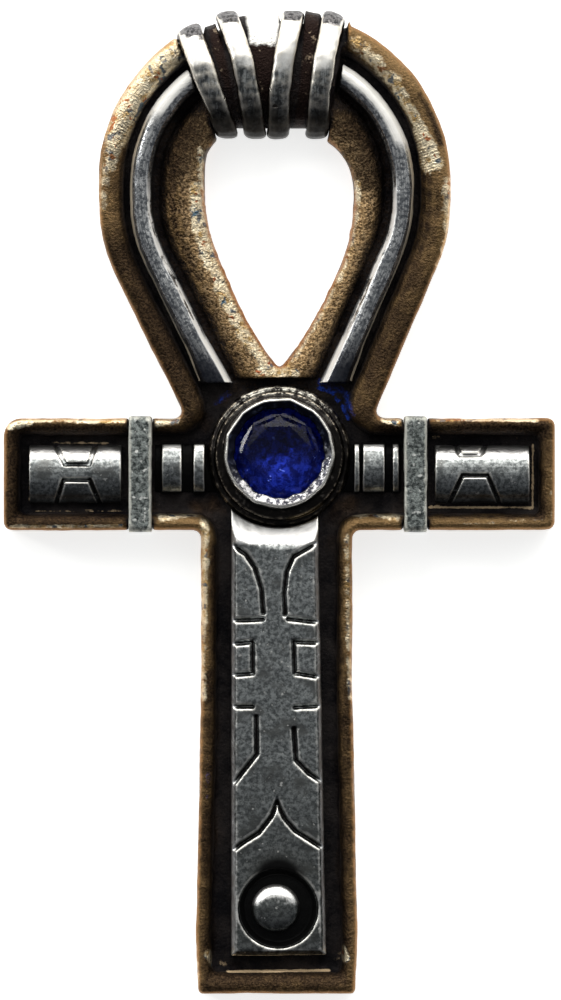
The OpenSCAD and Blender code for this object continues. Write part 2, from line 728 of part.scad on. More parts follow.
// A cutter along a line of points, with a triangular section that opens upwards
module vee(points, w, t) {
    n = len(points);
    rise = 0.1;
    wide = w/2*(t + rise)/t;
    skinned([for (i = [0:n - 1])
        let (
            a = heading(points[max(0, i - 1)], points[max(1, i)]),
            b = heading(points[min(n - 2, i)], points[min(n - 1, i + 1)]),
            side = left_of(a + b)/(1 + a*b)
        )
        [
            [points[i].x, points[i].y, -t],
            [points[i].x + side.x*wide, points[i].y + side.y*wide, rise],
            [points[i].x - side.x*wide, points[i].y - side.y*wide, rise]]]);
}

dish_floor_z = plate_z - dish_h;
// Width of the slope round the floor of the dish
dish_slope = 0.3;

// The plate leans a little, about its middle
plate_middle = [shaft_x, (plate_low_y + plate_top_y)/2, 0];
plate_deg = atan(plate_lean/plate_len);
dish_drop = (plate_top_y - plate_low_y)/2 - dish_rise;
module leaned() {
    translate(plate_middle) rotate([0, 0, plate_deg]) translate([0, -plate_middle.y, 0]) children();
}

module shaft_plate() {
    color("gainsboro") difference() {
        leaned()
            skinned([
                plate_ring(seat_z, 0),
                plate_ring(plate_z - plate_bevel, 0),
                plate_ring(plate_z, plate_bevel)]);
        translate([0, setting_y, seat_z - over])
            cylinder(h = plate_h + over*2, d = flange_d + side_gap*2);
        translate([0, setting_y, plate_z - plate_drop])
            cylinder(h = plate_drop + seat_gap, r1 = flange_d/2 + side_gap, r2 = flange_d/2 + plate_slope);
        for (line = plate_lines)
            leaned() translate([0, 0, plate_z])
                vee([for (q = line)
                    let (y = plate_top_y - q.y*plate_len)
                    [q.x*plate_half(y), y]], engrave_w, engrave_t);
        leaned() translate([0, plate_middle.y - dish_drop, dish_floor_z])
            cylinder(h = dish_h + seat_gap, d1 = dish_d - dish_slope*2, d2 = dish_d + seat_gap);
    }
}

// A low dome with a straight foot, flatter on top than a ball
boss_foot_h = 0.15;
boss_power = 2.9;
module shaft_boss() {
    dome_h = boss_h - boss_foot_h;
    color("gainsboro") leaned()
        translate([-boss_aside, plate_middle.y - dish_drop, dish_floor_z + seat_gap]) rotate_extrude()
        polygon(concat([[0, 0], [boss_d/2, 0]], [for (a = [0:10:90]) [
            boss_d/2*pow(cos(a), 2/boss_power),
            boss_foot_h + dome_h*pow(sin(a), 2/boss_power)]]));
}

// Solid with a rounded top that runs along the crossbar at y, from x1 to x2
module rounded_bar(x1, x2, y, w, h, r) {
    intersection() {
        translate([x1, y - w/2, seat_z]) cube([x2 - x1, w, h + over]);
        translate([x1 - over, y, seat_z + h - r]) rotate([0, 90, 0])
            cylinder(h = x2 - x1 + over*2, r = r);
    }
}

// Distance of a collar from the middle of the crossbar, on the left or the right
LEFT = -1;
RIGHT = 1;
function collar_at(side) = collar_x - side*collar_aside;
function barrel_x1(side) = collar_at(side) + collar_w/2 + barrel_collar_gap;
barrel_x2 = arm_span/2 - rim_arm_w - barrel_end_gap;
scribe_w = 0.2;
scribe_t = 0.15;

// Engraved lines of the barrels. Each point is [share of the length from the left, share of the width down]
left_lines = [
    [[0.27, -0.05], [0.39, 0.33], [0.65, 0.33], [0.73, -0.05]],
    [[0.28, 1.05], [0.37, 0.6], [0.66, 0.6], [0.78, 1.05]]];
right_lines = [
    [[0.21, -0.05], [0.27, 0.17], [0.48, 0.17], [0.56, -0.05]],
    [[0.14, 1.05], [0.29, 0.52], [0.56, 0.52], [0.7, 1.05]]];

// A flat strip along a line of points
module strip(points, w) {
    n = len(points);
    sides = [for (i = [0:n - 1])
        let (
            a = heading(points[max(0, i - 1)], points[max(1, i)]),
            b = heading(points[min(n - 2, i)], points[min(n - 1, i + 1)])
        )
        left_of(a + b)/(1 + a*b)*w/2];
    polygon(concat(
        [for (i = [0:n - 1]) points[i] + sides[i]],
        [for (i = [n - 1:-1:0]) points[i] - sides[i]]));
}

module barrel(x1, side, lines) {
    barrel_len = barrel_x2 - barrel_x1(side);
    color("gainsboro") difference() {
        rounded_bar(x1, x1 + barrel_len, bar_y, barrel_w, barrel_h, barrel_r);
        difference() {
            for (line = lines)
                translate([0, 0, seat_z]) linear_extrude(barrel_h + over)
                    strip([for (q = line) [x1 + q.x*barrel_len, bar_y + barrel_w*(0.5 - q.y)]], scribe_w);
            translate([x1 - over, bar_y, seat_z + barrel_h - barrel_r]) rotate([0, 90, 0])
                cylinder(h = barrel_len + over*2, r = barrel_r - scribe_t);
        }
    }
}

module barrel_left() {
    barrel(-barrel_x2, LEFT, left_lines);
}

module barrel_right() {
    barrel(barrel_x1(RIGHT), RIGHT, right_lines);
}

// A collar is a closed strap round the arm, with rounded corners in front
function block_corners(y1, y2, z1, z2) = [[y1, z1], [y2, z1], [y2, z2], [y1, z2]];
collar_low_y = bar_low_y - collar_proud;
collar_high_y = bar_top_y + collar_proud;
collar_top_z = rim_z + collar_t;
collar_round = 0.25;

module collar(x) {
    radii = [least_r, least_r, collar_round, collar_round];
    color("darkgray") translate([x - collar_w/2, 0, 0])
        rotate([90, 0, 90]) linear_extrude(collar_w) difference() {
            polygon(outline(
                block_corners(collar_low_y, collar_high_y, 0, collar_top_z), radii, no_rims, 0, 0));
            polygon(block_corners(collar_low_y + collar_t, collar_high_y - collar_t, collar_t,
                collar_top_z - collar_t));
        }
}

module collar_left() {
    collar(-collar_at(LEFT));
}

module collar_right() {
    collar(collar_at(RIGHT));
}

// Ribs between a collar and the setting. Each row is [place from the collar, width of the rib], both as
// shares of the run from the collar to the flange
left_ribs = [[0.18, 0.36], [0.75, 0.2]];
right_ribs = [[0.1, 0.11], [0.37, 0.41], [0.85, 0.09]];
rib_core_gap = 0.12;
rib_y = bar_y + rib_rise;

module ribs(rows, side) {
    x = collar_at(side) - collar_w/2;
    run = x - side_gap - flange_d/2;
    color("gainsboro") difference() {
        union() {
            rounded_bar(setting_y/2, x - rib_core_gap, rib_y, rib_w*0.94, rib_h - slot_depth, barrel_r*1.6);
            for (row = rows)
                rounded_bar(x - (row[0] + row[1])*run, x - row[0]*run, rib_y, rib_w, rib_h, barrel_r);
        }
        translate([0, setting_y, seat_z - over])
            cylinder(h = rib_h + over*2, d = flange_d + side_gap*2);
    }
}

module ribs_right() {
    ribs(right_ribs, RIGHT);
}

module ribs_left() {
    mirror([1, 0, 0]) ribs(left_ribs, LEFT);
}

frame();
wire_left();
wire_right();
wrap(wrap_rows[0]);  // wrap_1
wrap(wrap_rows[1]);  // wrap_2
wrap(wrap_rows[2]);  // wrap_3
wrap(wrap_rows[3]);  // wrap_4
bezel();
stone();
shaft_plate();
shaft_boss();
barrel_left();
barrel_right();
collar_left();
collar_right();
ribs_left();
ribs_right();
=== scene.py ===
import math

import bmesh
import bpy
import numpy as np
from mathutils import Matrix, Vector, kdtree, noise
from mathutils.bvhtree import BVHTree


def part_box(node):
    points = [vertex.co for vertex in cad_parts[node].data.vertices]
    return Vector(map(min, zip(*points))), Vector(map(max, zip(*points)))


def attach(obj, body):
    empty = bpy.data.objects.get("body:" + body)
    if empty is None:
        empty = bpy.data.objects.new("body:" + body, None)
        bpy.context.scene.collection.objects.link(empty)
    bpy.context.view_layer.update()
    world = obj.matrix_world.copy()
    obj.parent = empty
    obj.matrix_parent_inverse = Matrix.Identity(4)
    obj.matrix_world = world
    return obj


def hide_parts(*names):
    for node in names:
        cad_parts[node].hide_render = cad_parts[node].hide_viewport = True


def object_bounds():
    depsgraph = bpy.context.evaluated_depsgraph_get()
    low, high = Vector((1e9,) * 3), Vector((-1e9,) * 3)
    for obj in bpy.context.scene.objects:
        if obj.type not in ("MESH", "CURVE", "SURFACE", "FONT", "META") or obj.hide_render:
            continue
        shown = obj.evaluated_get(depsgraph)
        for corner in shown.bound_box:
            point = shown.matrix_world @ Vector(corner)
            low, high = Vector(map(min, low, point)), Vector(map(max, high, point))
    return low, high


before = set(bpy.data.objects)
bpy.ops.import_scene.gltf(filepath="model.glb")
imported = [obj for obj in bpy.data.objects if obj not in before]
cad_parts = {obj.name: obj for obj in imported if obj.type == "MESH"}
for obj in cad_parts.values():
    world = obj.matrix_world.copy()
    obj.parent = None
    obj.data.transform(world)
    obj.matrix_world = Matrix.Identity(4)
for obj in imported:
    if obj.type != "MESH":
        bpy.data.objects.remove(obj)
cad_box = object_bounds()


# The pendant lies on a sheet of pale card, wide enough to fill the view from every side. It glows a little,
# as on a light box, so that shadows stay faint, and lies a hair below the pendant's back.
MM = 0.001
table_size = 900
card_glow = 0.75
sheet_drop = 0.01
sheet = bmesh.new()
bmesh.ops.create_grid(sheet, x_segments=1, y_segments=1, size=table_size/2*MM)
table_mesh = bpy.data.meshes.new("Pale card")
sheet.to_mesh(table_mesh)
sheet.free()
table = bpy.data.objects.new("Pale card", table_mesh)
bpy.context.scene.collection.objects.link(table)
card = bpy.data.materials.new("Pale card")
card.use_nodes = True
card_shader = card.node_tree.nodes["Principled BSDF"]
card_shader.inputs["Base Color"].default_value = (0.93, 0.93, 0.92, 1)
card_shader.inputs["Roughness"].default_value = 0.9
card_shader.inputs["Specular IOR Level"].default_value = 0.1
card_shader.inputs["Emission Color"].default_value = (1, 1, 0.99, 1)
card_shader.inputs["Emission Strength"].default_value = card_glow
table_mesh.materials.append(card)
table.location.z = -sheet_drop*MM


# The casting is the bronze body of the pendant: foot, shaft, crossbar, loop and wrapped neck, poured in one
# piece and darkened. Its sunk floors stay black, its band is granular, and its rims are brown where nobody
# touches them and rubbed golden along their crests.
casting_grid = 0.105
casting_triangles = 185000


def set_modifiers(piece):
    """Makes what the modifiers show the piece's own mesh."""
    seen = piece.evaluated_get(bpy.context.evaluated_depsgraph_get())
    made = bpy.data.meshes.new_from_object(seen)
    made.name = piece.name
    piece.modifiers.clear()
    piece.data = made


def points_of(mesh):
    """Places and normals of a mesh's vertices as arrays."""
    places = np.empty(len(mesh.vertices)*3)
    mesh.vertices.foreach_get("co", places)
    normals = np.empty(len(mesh.vertices)*3)
    mesh.vertex_normals.foreach_get("vector", normals)
    return places.reshape(-1, 3), normals.reshape(-1, 3)


def set_points(mesh, places):
    """Puts a mesh's vertices at new places."""
    mesh.vertices.foreach_set("co", places.ravel())
    mesh.update()


def risen(values, start, over):
    """How far values have risen past a start, as a share from 0 to 1 of what they rise over."""
    return np.clip((values - start)/over, 0, 1)


def spread(mesh, values, rounds):
    """Averages values over neighbouring vertices, a few rounds of it."""
    ends = np.empty(len(mesh.edges)*2, dtype=np.int32)
    mesh.edges.foreach_get("vertices", ends)
    a, b = ends.reshape(-1, 2).T
    count = len(mesh.vertices)
    degree = np.maximum(np.bincount(a, minlength=count) + np.bincount(b, minlength=count), 1)
    columns = values.reshape(count, -1).T
    for _ in range(rounds):
        columns = np.array([
            (np.bincount(a, c[b], count) + np.bincount(b, c[a], count))/degree for c in columns])
    return columns.T.reshape(values.shape)


def marked(piece, name, values):
    """Keeps a number from 0 to 1 for each vertex, for the materials to read."""
    kept = piece.data.attributes.new(name, "FLOAT", "POINT")
    kept.data.foreach_set("value", np.clip(values, 0, 1).astype(np.float32))


def unevenness(places, size, seed):
    """Smooth noise from about -1 to 1 at each place, with bumps of about that size in millimetres."""
    shift = Vector((seed*7.3, seed*3.1, seed*5.7))
    return np.array([noise.noise(Vector(p)/size + shift) for p in places])


def beside(places, line):
    """Distance in the plane from each place to a line through a few points."""
    nearest = np.full(len(places), np.inf)
    for a, b in zip(np.array(line), np.array(line[1:] or line)):
        along = b - a
        share = np.clip((places[:, :2] - a)@along/max(along@along, 1e-9), 0, 1)
        nearest = np.minimum(nearest, np.hypot(*(places[:, :2] - a - share[:, None]*along).T))
    return nearest


def charted(places, rows):
    """The strongest of several soft marks at each place. Rows are [reach, strength, points of a line]."""
    felt = np.zeros(len(places))
    for reach, strength, line in rows:
        felt = np.maximum(felt, strength*np.exp(-(beside(places, line)/reach)**2))
    return felt


def distance_to(places, targets):
    """Distance in the plane from each place to the nearest target."""
    tree = kdtree.KDTree(len(targets))
    for i, target in enumerate(targets):
        tree.insert((target[0], target[1], 0), i)
    tree.balance()
    return np.array([tree.find((place[0], place[1], 0))[2] for place in places])


# Rays that feel how open a spot of metal is: a ring of them leans out from its normal
RAY_LEAN = math.radians(55)
RAY_TURN = 0.3
RAY_COUNT = 8
RAY_START = 0.13
RAY_REACH = 2.4
every_piece = bmesh.new()
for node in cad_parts.values():
    every_piece.from_mesh(node.data)
bmesh.ops.scale(every_piece, vec=(1/MM, 1/MM, 1/MM), verts=every_piece.verts)
surroundings = BVHTree.FromBMesh(every_piece)
every_piece.free()


def openness(places, normals):
    """Share of the rays from each spot that leave the pendant, so 0 is a deep groove and 1 an open face."""
    felt = np.zeros(len(places))
    for i, (place, normal) in enumerate(zip(places, normals)):
        along = Vector(normal)
        across = along.orthogonal().normalized()
        beyond = along.cross(across)
        start = Vector(place) + along*RAY_START
        clear = 0
        for k in range(RAY_COUNT):
            turn = math.tau*(k + RAY_TURN)/RAY_COUNT
            way = (across*math.cos(turn) + beyond*math.sin(turn))*math.sin(RAY_LEAN)
            way += along*math.cos(RAY_LEAN)
            if surroundings.ray_cast(start, way, RAY_REACH)[0] is None:
                clear += 1
        felt[i] = clear/RAY_COUNT
    return felt


def poured(name, node, grid, eased):
    """A CAD solid as cast metal, in millimetres: its skin is redrawn on a grid, its edges eased."""
    metal = bmesh.new()
    metal.from_mesh(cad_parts[node].data)
    bmesh.ops.remove_doubles(metal, verts=metal.verts, dist=0.0001*MM)
    bmesh.ops.scale(metal, vec=(1/MM, 1/MM, 1/MM), verts=metal.verts)
    skin = bpy.data.meshes.new(name)
    metal.to_mesh(skin)
    metal.free()
    piece = bpy.data.objects.new(name, skin)
    bpy.context.scene.collection.objects.link(piece)
    redraw = piece.modifiers.new("Redraw", "REMESH")
    redraw.mode = "VOXEL"
    redraw.voxel_size = grid
    ease = piece.modifiers.new("Ease", "SMOOTH")
    ease.factor = 0.5
    ease.iterations = eased
    set_modifiers(piece)
    marked(piece, "Open", spread(piece.data, openness(*points_of(piece.data)), 3))
    return piece


def worn(piece, edge_rounds, edge_gain):
    """Marks where a piece's edges stand out from its skin, averaged over a few rounds of neighbours."""
    places, normals = points_of(piece.data)
    around = spread(piece.data, places, edge_rounds)
    swell = ((places - around)*normals).sum(axis=1)
    marked(piece, "Edge", 0.5 + swell*edge_gain)


def finished(piece, material, triangles, *nodes):
    """Gives a piece its material, keeps it inside the CAD box, and brings it to its triangles and metres."""
    piece.data.materials.clear()
    piece.data.materials.append(material)
    set_points(piece.data, np.clip(points_of(piece.data)[0], *np.array(cad_box)/MM))
    now = sum(len(p.vertices) - 2 for p in piece.data.polygons)
    if now > triangles:
        thin = piece.modifiers.new("Thin", "DECIMATE")
        thin.ratio = triangles/now
        set_modifiers(piece)
    metal = bmesh.new()
    metal.from_mesh(piece.data)
    bmesh.ops.scale(metal, vec=(MM, MM, MM), verts=metal.verts)
    metal.to_mesh(piece.data)
    metal.free()
    piece.data.shade_smooth()
    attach(piece, "root")
    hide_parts(*nodes)


casting = poured("casting", "frame", casting_grid, 3)
places, normals = points_of(casting.data)

# The outer walls and the wall of the eye are the upright metal between the back and the floor
upright_lean, wall_low_z, wall_high_z = 0.25, 0.5, 1.2
eye_middle_y, eye_half_w, eye_half_h = 11.4, 5.5, 7.2
upright = (abs(normals[:, 2]) < upright_lean) & (places[:, 2] > wall_low_z) & (places[:, 2] < wall_high_z)
in_eye = np.hypot(places[:, 0]/eye_half_w, (places[:, 1] - eye_middle_y)/eye_half_h) < 1
outer_wall = places[upright & ~in_eye]
from_outside = distance_to(places, outer_wall)
from_eye = distance_to(places, places[upright & in_eye])

# The rim is wide round the loop and narrow along the arms and the shaft
loop_low_y, foot_top_y = 4.3, -21.3
loop_rim_w, arm_rim_w, foot_rim_w = 1.25, 0.72, 1.0
below_loop_w = np.where(places[:, 1] < foot_top_y, foot_rim_w, arm_rim_w)
rim_w = np.where(places[:, 1] > loop_low_y, loop_rim_w, below_loop_w)

# The neck lies between the outer wraps and widens towards the crown of the loop
neck_low_y, crown_y = 16.6, 21.5
neck_share = (places[:, 1] - neck_low_y)/(crown_y - neck_low_y)
neck_left_x = -3.0 - 1.5*neck_share
neck_right_x = 2.25 + 0.8*neck_share
on_neck = ((neck_share > 0) & (places[:, 0] > neck_left_x) & (places[:, 0] < neck_right_x)).astype(float)

# The band round the eye is the metal above the floor that stands apart from the rims
band_low_y, band_low_z, band_w = 5.5, 1.7, 2.3
on_band = ((places[:, 2] > band_low_z) & (places[:, 1] > band_low_y) & (from_eye < band_w)
    & (from_eye < from_outside)).astype(float)*(1 - on_neck)
on_band = spread(casting.data, on_band, 2)

# Years of wear have sloped the outer side of the rim round the top of the loop
shoulder_low_y, shoulder_high_y = 12.5, 16.5
shoulder_low_z, shoulder_w, shoulder_t = 2, 0.95, 0.24
worn_off = np.clip(1 - from_outside/shoulder_w, 0, 1)**1.5
worn_off *= risen(places[:, 1], shoulder_low_y, shoulder_high_y - shoulder_low_y)
worn_off *= risen(places[:, 2], shoulder_low_z, 0.4)*(1 - on_neck)

# The metal is uneven all over, granular on the band and flat on its back
uneven_size, uneven_t = 1.7, 0.04
ripple_size, ripple_t = 0.7, 0.018
grain_size, grain_t, grain_off_band = 0.3, 0.045, 0.25
flat_back_t = 0.3
lift = unevenness(places, uneven_size, 1)*uneven_t + unevenness(places, ripple_size, 5)*ripple_t
lift += unevenness(places, grain_size, 2)*grain_t*(grain_off_band + (1 - grain_off_band)*on_band)
shaped = places + normals*(lift*risen(places[:, 2], 0, flat_back_t))[:, None]
shaped[:, 2] -= worn_off*shoulder_t

# Old solder fills the gaps between the wraps at the top. Columns: middle of the gap at the crown, how far
# it leans over for each mm down, half its width, and how high the solder stands
solder_rows = [
    [-3.2, 0.35, 0.36, 0.38],
    [-0.9, 0.15, 1.02, 0.38],
    [1.53, -0.1, 0.44, 0.62],
    [3.04, -0.1, 0.2, 0.36]]
solder_low_y, solder_slope, solder_side = 20.5, 0.7, 0.08
for gap_x, lean, half_w, rise in solder_rows:
    off = abs(places[:, 0] - gap_x - lean*(crown_y - places[:, 1]))
    filled = risen(half_w - off, 0, solder_side)*risen(places[:, 1], solder_low_y, solder_slope)
    shaped[:, 1] += filled*rise
set_points(casting.data, shaped)
worn(casting, 10, 9)

# Rubbed, sooty, stained and filed places, and pale lines painted as highlights. Columns: reach, strength,
# points of the line that it follows
rubs = [
    [0.75, 1.5, [(-4.9, 20.6), (-5.9, 19.5), (-6.8, 18.1), (-7.4, 16.9)]],
    [0.5, 0.8, [(-7.4, 16.7), (-7.8, 15.3)]],
    [0.35, 0.62, [(-7.9, 15.3), (-8.1, 13.4)]],
    [0.25, 0.5, [(-8.2, 15.0), (-8.3, 12.6), (-8.1, 10.8)]],
    [0.5, 0.72, [(3.5, 20.9), (4.4, 20.1), (5.3, 19.1)]],
    [0.3, 1.1, [(5.4, 18.9), (6.1, 17.7), (6.9, 16.3), (7.2, 15.4)]],
    [0.5, 0.72, [(6.3, 16.9), (6.8, 15.2)]],
    [0.4, 0.78, [(7.7, 14.6), (7.8, 12.2), (7.1, 9.4)]],
    [0.5, 1.25, [(-3.65, 14.2), (-3.5, 12.6), (-3.1, 11.0)]],
    [0.3, 0.7, [(-3.6, 16.0), (-3.6, 14.2)]],
    [0.36, 1.05, [(-3.0, 10.8), (-2.5, 9.3), (-1.6, 7.6), (-0.4, 6.1)]],
    [0.25, 1.0, [(3.55, 14.5), (3.5, 13.6)]],
    [0.35, 1.0, [(3.35, 13.2), (3.1, 11.8), (2.7, 10.3)]],
    [0.28, 0.72, [(2.4, 9.6), (1.3, 7.6), (0.2, 6.0)]],
    [0.26, 1.25, [(-0.9, 5.95), (0.7, 5.85)]],
    [0.22, 1.05, [(-12.3, 3.45), (-11.4, 3.62)]],
    [0.14, 0.7, [(-11.3, 3.68), (-9.4, 3.72)]],
    [0.17, 1.0, [(-9.2, 3.7), (-7.1, 3.7)]],
    [0.26, 0.85, [(-5.6, 3.6), (-4.7, 3.75)]],
    [0.12, 0.7, [(-12.3, -1.15), (-10.0, -1.15), (-7.2, -1.1)]],
    [0.35, 1.1, [(-5.3, -0.6), (-4.2, -0.4), (-3.5, -0.35)]],
    [0.3, 0.8, [(-3.4, -0.8), (-3.45, -2.7), (-3.5, -5.4)]],
    [0.26, 0.68, [(-3.5, -5.4), (-3.5, -9.0)]],
    [0.32, 1.2, [(2.5, -0.7), (3.0, -0.35), (3.6, -0.35)]],
    [0.38, 0.85, [(3.6, -0.4), (4.6, -0.5), (5.4, -0.6)]],
    [0.2, 0.66, [(3.1, -1.6), (3.15, -6.3), (3.25, -9.0)]],
    [0.25, 0.85, [(4.8, 3.75), (5.6, 3.6)]],
    [0.13, 0.8, [(7.2, 3.72), (9.3, 3.76), (11.8, 3.7)]],
    [0.12, 0.45, [(12.4, 3.3), (12.45, -0.8), (7.0, -1.1)]],
    [0.26, 0.95, [(-3.25, -20.7), (-2.9, -21.2)]],
    [0.24, 1.0, [(2.85, -20.5), (3.05, -20.9)]],
    [0.12, 0.6, [(3.6, -14.5), (3.7, -19.5), (3.55, -22.1)]],
    [0.13, 0.62, [(-3.75, -10.5), (-3.9, -19.5), (-3.7, -22.1)]]]
soots = [
    [1.3, 0.95, [(-7.1, 11.3), (-5.2, 6.8), (-4.4, 4.3)]],
    [1.1, 0.7, [(6.6, 10.0), (4.9, 6.3), (4.3, 4.3)]],
    [1.5, 0.95, [(-3.7, 17.4), (-4.4, 15.7)]],
    [1.5, 1.0, [(3.3, 17.6), (4.3, 15.4)]],
    [0.6, 0.95, [(-2.4, 5.2), (0, 4.9), (2.4, 5.2)]],
    [0.8, 1.0, [(-12.1, 3.1), (-12.1, -0.7), (-7.0, -0.7)]],
    [0.6, 0.85, [(-12.0, 3.2), (-4.8, 3.2)]],
    [0.75, 0.95, [(4.8, 3.3), (12.0, 3.3)]],
    [0.6, 0.6, [(12.0, 3.2), (12.0, -0.6), (7.0, -0.6)]],
    [0.5, 0.8, [(-5.0, -0.3), (-6.8, -0.3)]],
    [0.45, 0.72, [(-3.15, -8.0), (-3.4, -18.0), (-3.2, -21.8), (3.0, -21.8), (3.1, -8.0)]],
    [0.7, 0.85, [(-3.0, -22.0), (3.0, -22.0)]],
    [0.28, 0.65, [(-3.0, -2.0), (-3.1, -8.0)]],
    [0.3, 0.6, [(2.65, -2.0), (2.8, -8.0)]],
    [0.2, 0.85, [(6.4, 18.6), (6.95, 17.6), (7.4, 16.4)]]]
# Pale lines are painted along rim edges that face the light, as highlights
painted_highlight_rows = [
    [0.07, 0.95, [(-11.42, 2.4), (-11.42, 0.0)]],
    [0.07, 0.9, [(-10.4, 2.72), (-7.8, 2.7)]],
    [0.07, 0.75, [(-11.2, -0.42), (-7.0, -0.42)]],
    [0.07, 1.0, [(6.9, -0.26), (11.6, -0.3), (11.62, 2.7)]],
    [0.07, 1.0, [(-2.4, -21.5), (2.3, -21.46)]],
    [0.3, 0.48, [(3.05, 20.9), (3.1, 20.0)]],
    [0.3, 0.5, [(-3.0, -20.9), (-2.4, -21.2)]],
    [0.3, 0.5, [(2.9, -20.6), (2.6, -21.1)]],
    [0.22, 0.45, [(7.0, 2.95), (11.0, 3.0)]],
    [0.2, 0.42, [(-4.0, -0.2), (-6.8, -0.1)]]]
stains = [
    [0.1, 1.0, [(1.8, 5.2), (2.5, 4.95)]],
    [0.09, 0.95, [(2.45, 4.9), (2.85, 4.4), (3.15, 3.75)]],
    [0.3, 0.62, [(1.9, 5.5), (3.0, 5.0), (3.3, 3.9)]],
    [0.3, 0.55, [(-2.9, 4.5), (-2.2, 5.0)]],
    [0.3, 0.45, [(-3.25, -11.7), (-3.3, -13.4)]]]
filed_rows = [
    [0.6, 0.8, [(-6.9, 17.7), (-7.5, 16.3)]],
    [0.6, 0.65, [(6.2, 17.0), (6.7, 15.2)]]]
combed_rows = [
    [0.9, 0.8, [(-7.7, 15.6), (-7.9, 12.0), (-7.4, 9.8), (-5.9, 6.6)]],
    [0.9, 0.45, [(7.2, 13.6), (7.1, 11.0), (5.9, 8.0)]],
    [0.8, 0.6, [(-3.4, -10.0), (-3.6, -18.0)]],
    [0.8, 0.6, [(3.3, -3.0), (3.4, -18.0)]]]
places, normals = points_of(casting.data)
crest_low_z, face_low_z, chart_ease = 1.8, 0.7, 0.3
crest = risen(places[:, 2], crest_low_z, chart_ease)
face = risen(places[:, 2], face_low_z, chart_ease)
marked(casting, "Rubbed and painted highlight", charted(places, rubs)*crest)
wall_lean, wall_top_z = 0.6, 2.0
steep = risen(wall_lean - abs(normals[:, 2]), 0, 0.2)
marked(casting, "Wall", steep*risen(wall_top_z - places[:, 2], 0, 0.4))
for label, rows in (("Sooty and painted shade", soots), ("Stained", stains), ("Painted highlight line", painted_highlight_rows),
        ("Filed across", filed_rows), ("Filed along", combed_rows)):
    marked(casting, label, charted(places, rows)*face)
marked(casting, "Inward", from_outside/rim_w)
edge_w, eye_edge_w, band_edge = 0.5, 1.5, 1.9
marked(casting, "Rim edge", 1 - from_outside/edge_w)
marked(casting, "Band", on_band)
marked(casting, "Beside band", 1 - (from_eye - band_edge))
marked(casting, "Eye edge", 1 - from_eye/eye_edge_w)
marked(casting, "Neck", spread(casting.data, on_neck, 1))
# The saddle is the top of the neck between the middle wraps, burnished and painted as a highlight
saddle_x, saddle_half_w, saddle_low_y = -0.36, 1.2, 19.5
burnished_and_highlit_saddle = (abs(places[:, 0] - saddle_x) < saddle_half_w) & (places[:, 1] > saddle_low_y)
marked(casting, "Saddle", spread(casting.data, burnished_and_highlit_saddle.astype(float), 2))


def placed(tree, kind, inputs=None, **settings):
    """A shader node with its settings, and its inputs linked or set."""
    made = tree.nodes.new(kind)
    for key, value in settings.items():
        setattr(made, key, value)
    for key, value in (inputs or {}).items():
        if isinstance(value, bpy.types.NodeSocket):
            tree.links.new(value, made.inputs[key])
        else:
            made.inputs[key].default_value = value
    return made


def ramped(tree, value, low, high):
    """A mask that goes smoothly from 0 to 1 as value goes from low to high, which may be the lesser."""
    made = placed(tree, "ShaderNodeMapRange", {"Value": value, "From Min": low, "From Max": high},
        interpolation_type="SMOOTHSTEP")
    return made.outputs["Result"]


def joined(tree, kind, a, b):
    """Two values joined by a math node."""
    return placed(tree, "ShaderNodeMath", {0: a, 1: b}, operation=kind).outputs[0]


def times(tree, a, b):
    """One value or mask times another."""
    return joined(tree, "MULTIPLY", a, b)


def scaled(tree, value, gain, offset):
    """A value times a number, plus another number."""
    made = placed(tree, "ShaderNodeMath", {0: value, 1: gain, 2: offset}, operation="MULTIPLY_ADD")
    return made.outputs[0]


def tinted(tree, mask, dark, bright):
    """Goes from one colour to another with a mask."""
    made = placed(tree, "ShaderNodeMix", {"Factor": mask, 6: dark, 7: bright}, data_type="RGBA")
    return made.outputs[2]


def mark_of(tree, name):
    """A number that was marked on the piece."""
    return placed(tree, "ShaderNodeAttribute", attribute_name=name).outputs["Fac"]


def cloudy(tree, where, scale, detail=3, rough=0.55):
    """Noise over the metal, as a value round 0.5."""
    made = placed(tree, "ShaderNodeTexNoise",
        {"Vector": where, "Scale": scale, "Detail": detail, "Roughness": rough})
    return made.outputs["Fac"]


def broken(tree, mark, clouds, share):
    """A mark whose outline is broken up by noise, by a share of the mark's whole range."""
    return joined(tree, "ADD", mark, scaled(tree, clouds, share*2, -share))


def group_of(name, numbers, outputs):
    """A shader node group with number inputs, each [name, usual value], and outputs, each a name."""
    tree = bpy.data.node_groups.new(name, "ShaderNodeTree")
    for label, usual in numbers:
        made = tree.interface.new_socket(label, in_out="INPUT", socket_type="NodeSocketFloat")
        made.default_value = usual
    for label in outputs:
        tree.interface.new_socket(label, in_out="OUTPUT", socket_type="NodeSocketFloat")
    return tree, tree.nodes.new("NodeGroupInput"), tree.nodes.new("NodeGroupOutput")


# Patina lies where a spot is shut in, and wear shows where edges stand out; both are broken up by noise
patina, patina_in, patina_out = group_of("Patina and wear",
    [["Shut", 0.35], ["Clear", 0.85], ["Wear from", 0.52], ["Wear to", 0.66], ["Blotch size", 700.0]],
    ["Clean", "Wear"])
where = placed(patina, "ShaderNodeTexCoord").outputs["Object"]
blotch = cloudy(patina, where, patina_in.outputs["Blotch size"], 4, 0.6)
broken_open = broken(patina, mark_of(patina, "Open"), blotch, 0.15)
clean = ramped(patina, broken_open, patina_in.outputs["Shut"], patina_in.outputs["Clear"])
broken_edge = broken(patina, mark_of(patina, "Edge"), cloudy(patina, where, 2600.0, 3, 0.7), 0.1)
wear = ramped(patina, broken_edge, patina_in.outputs["Wear from"], patina_in.outputs["Wear to"])
patina.links.new(clean, patina_out.inputs["Clean"])
patina.links.new(wear, patina_out.inputs["Wear"])

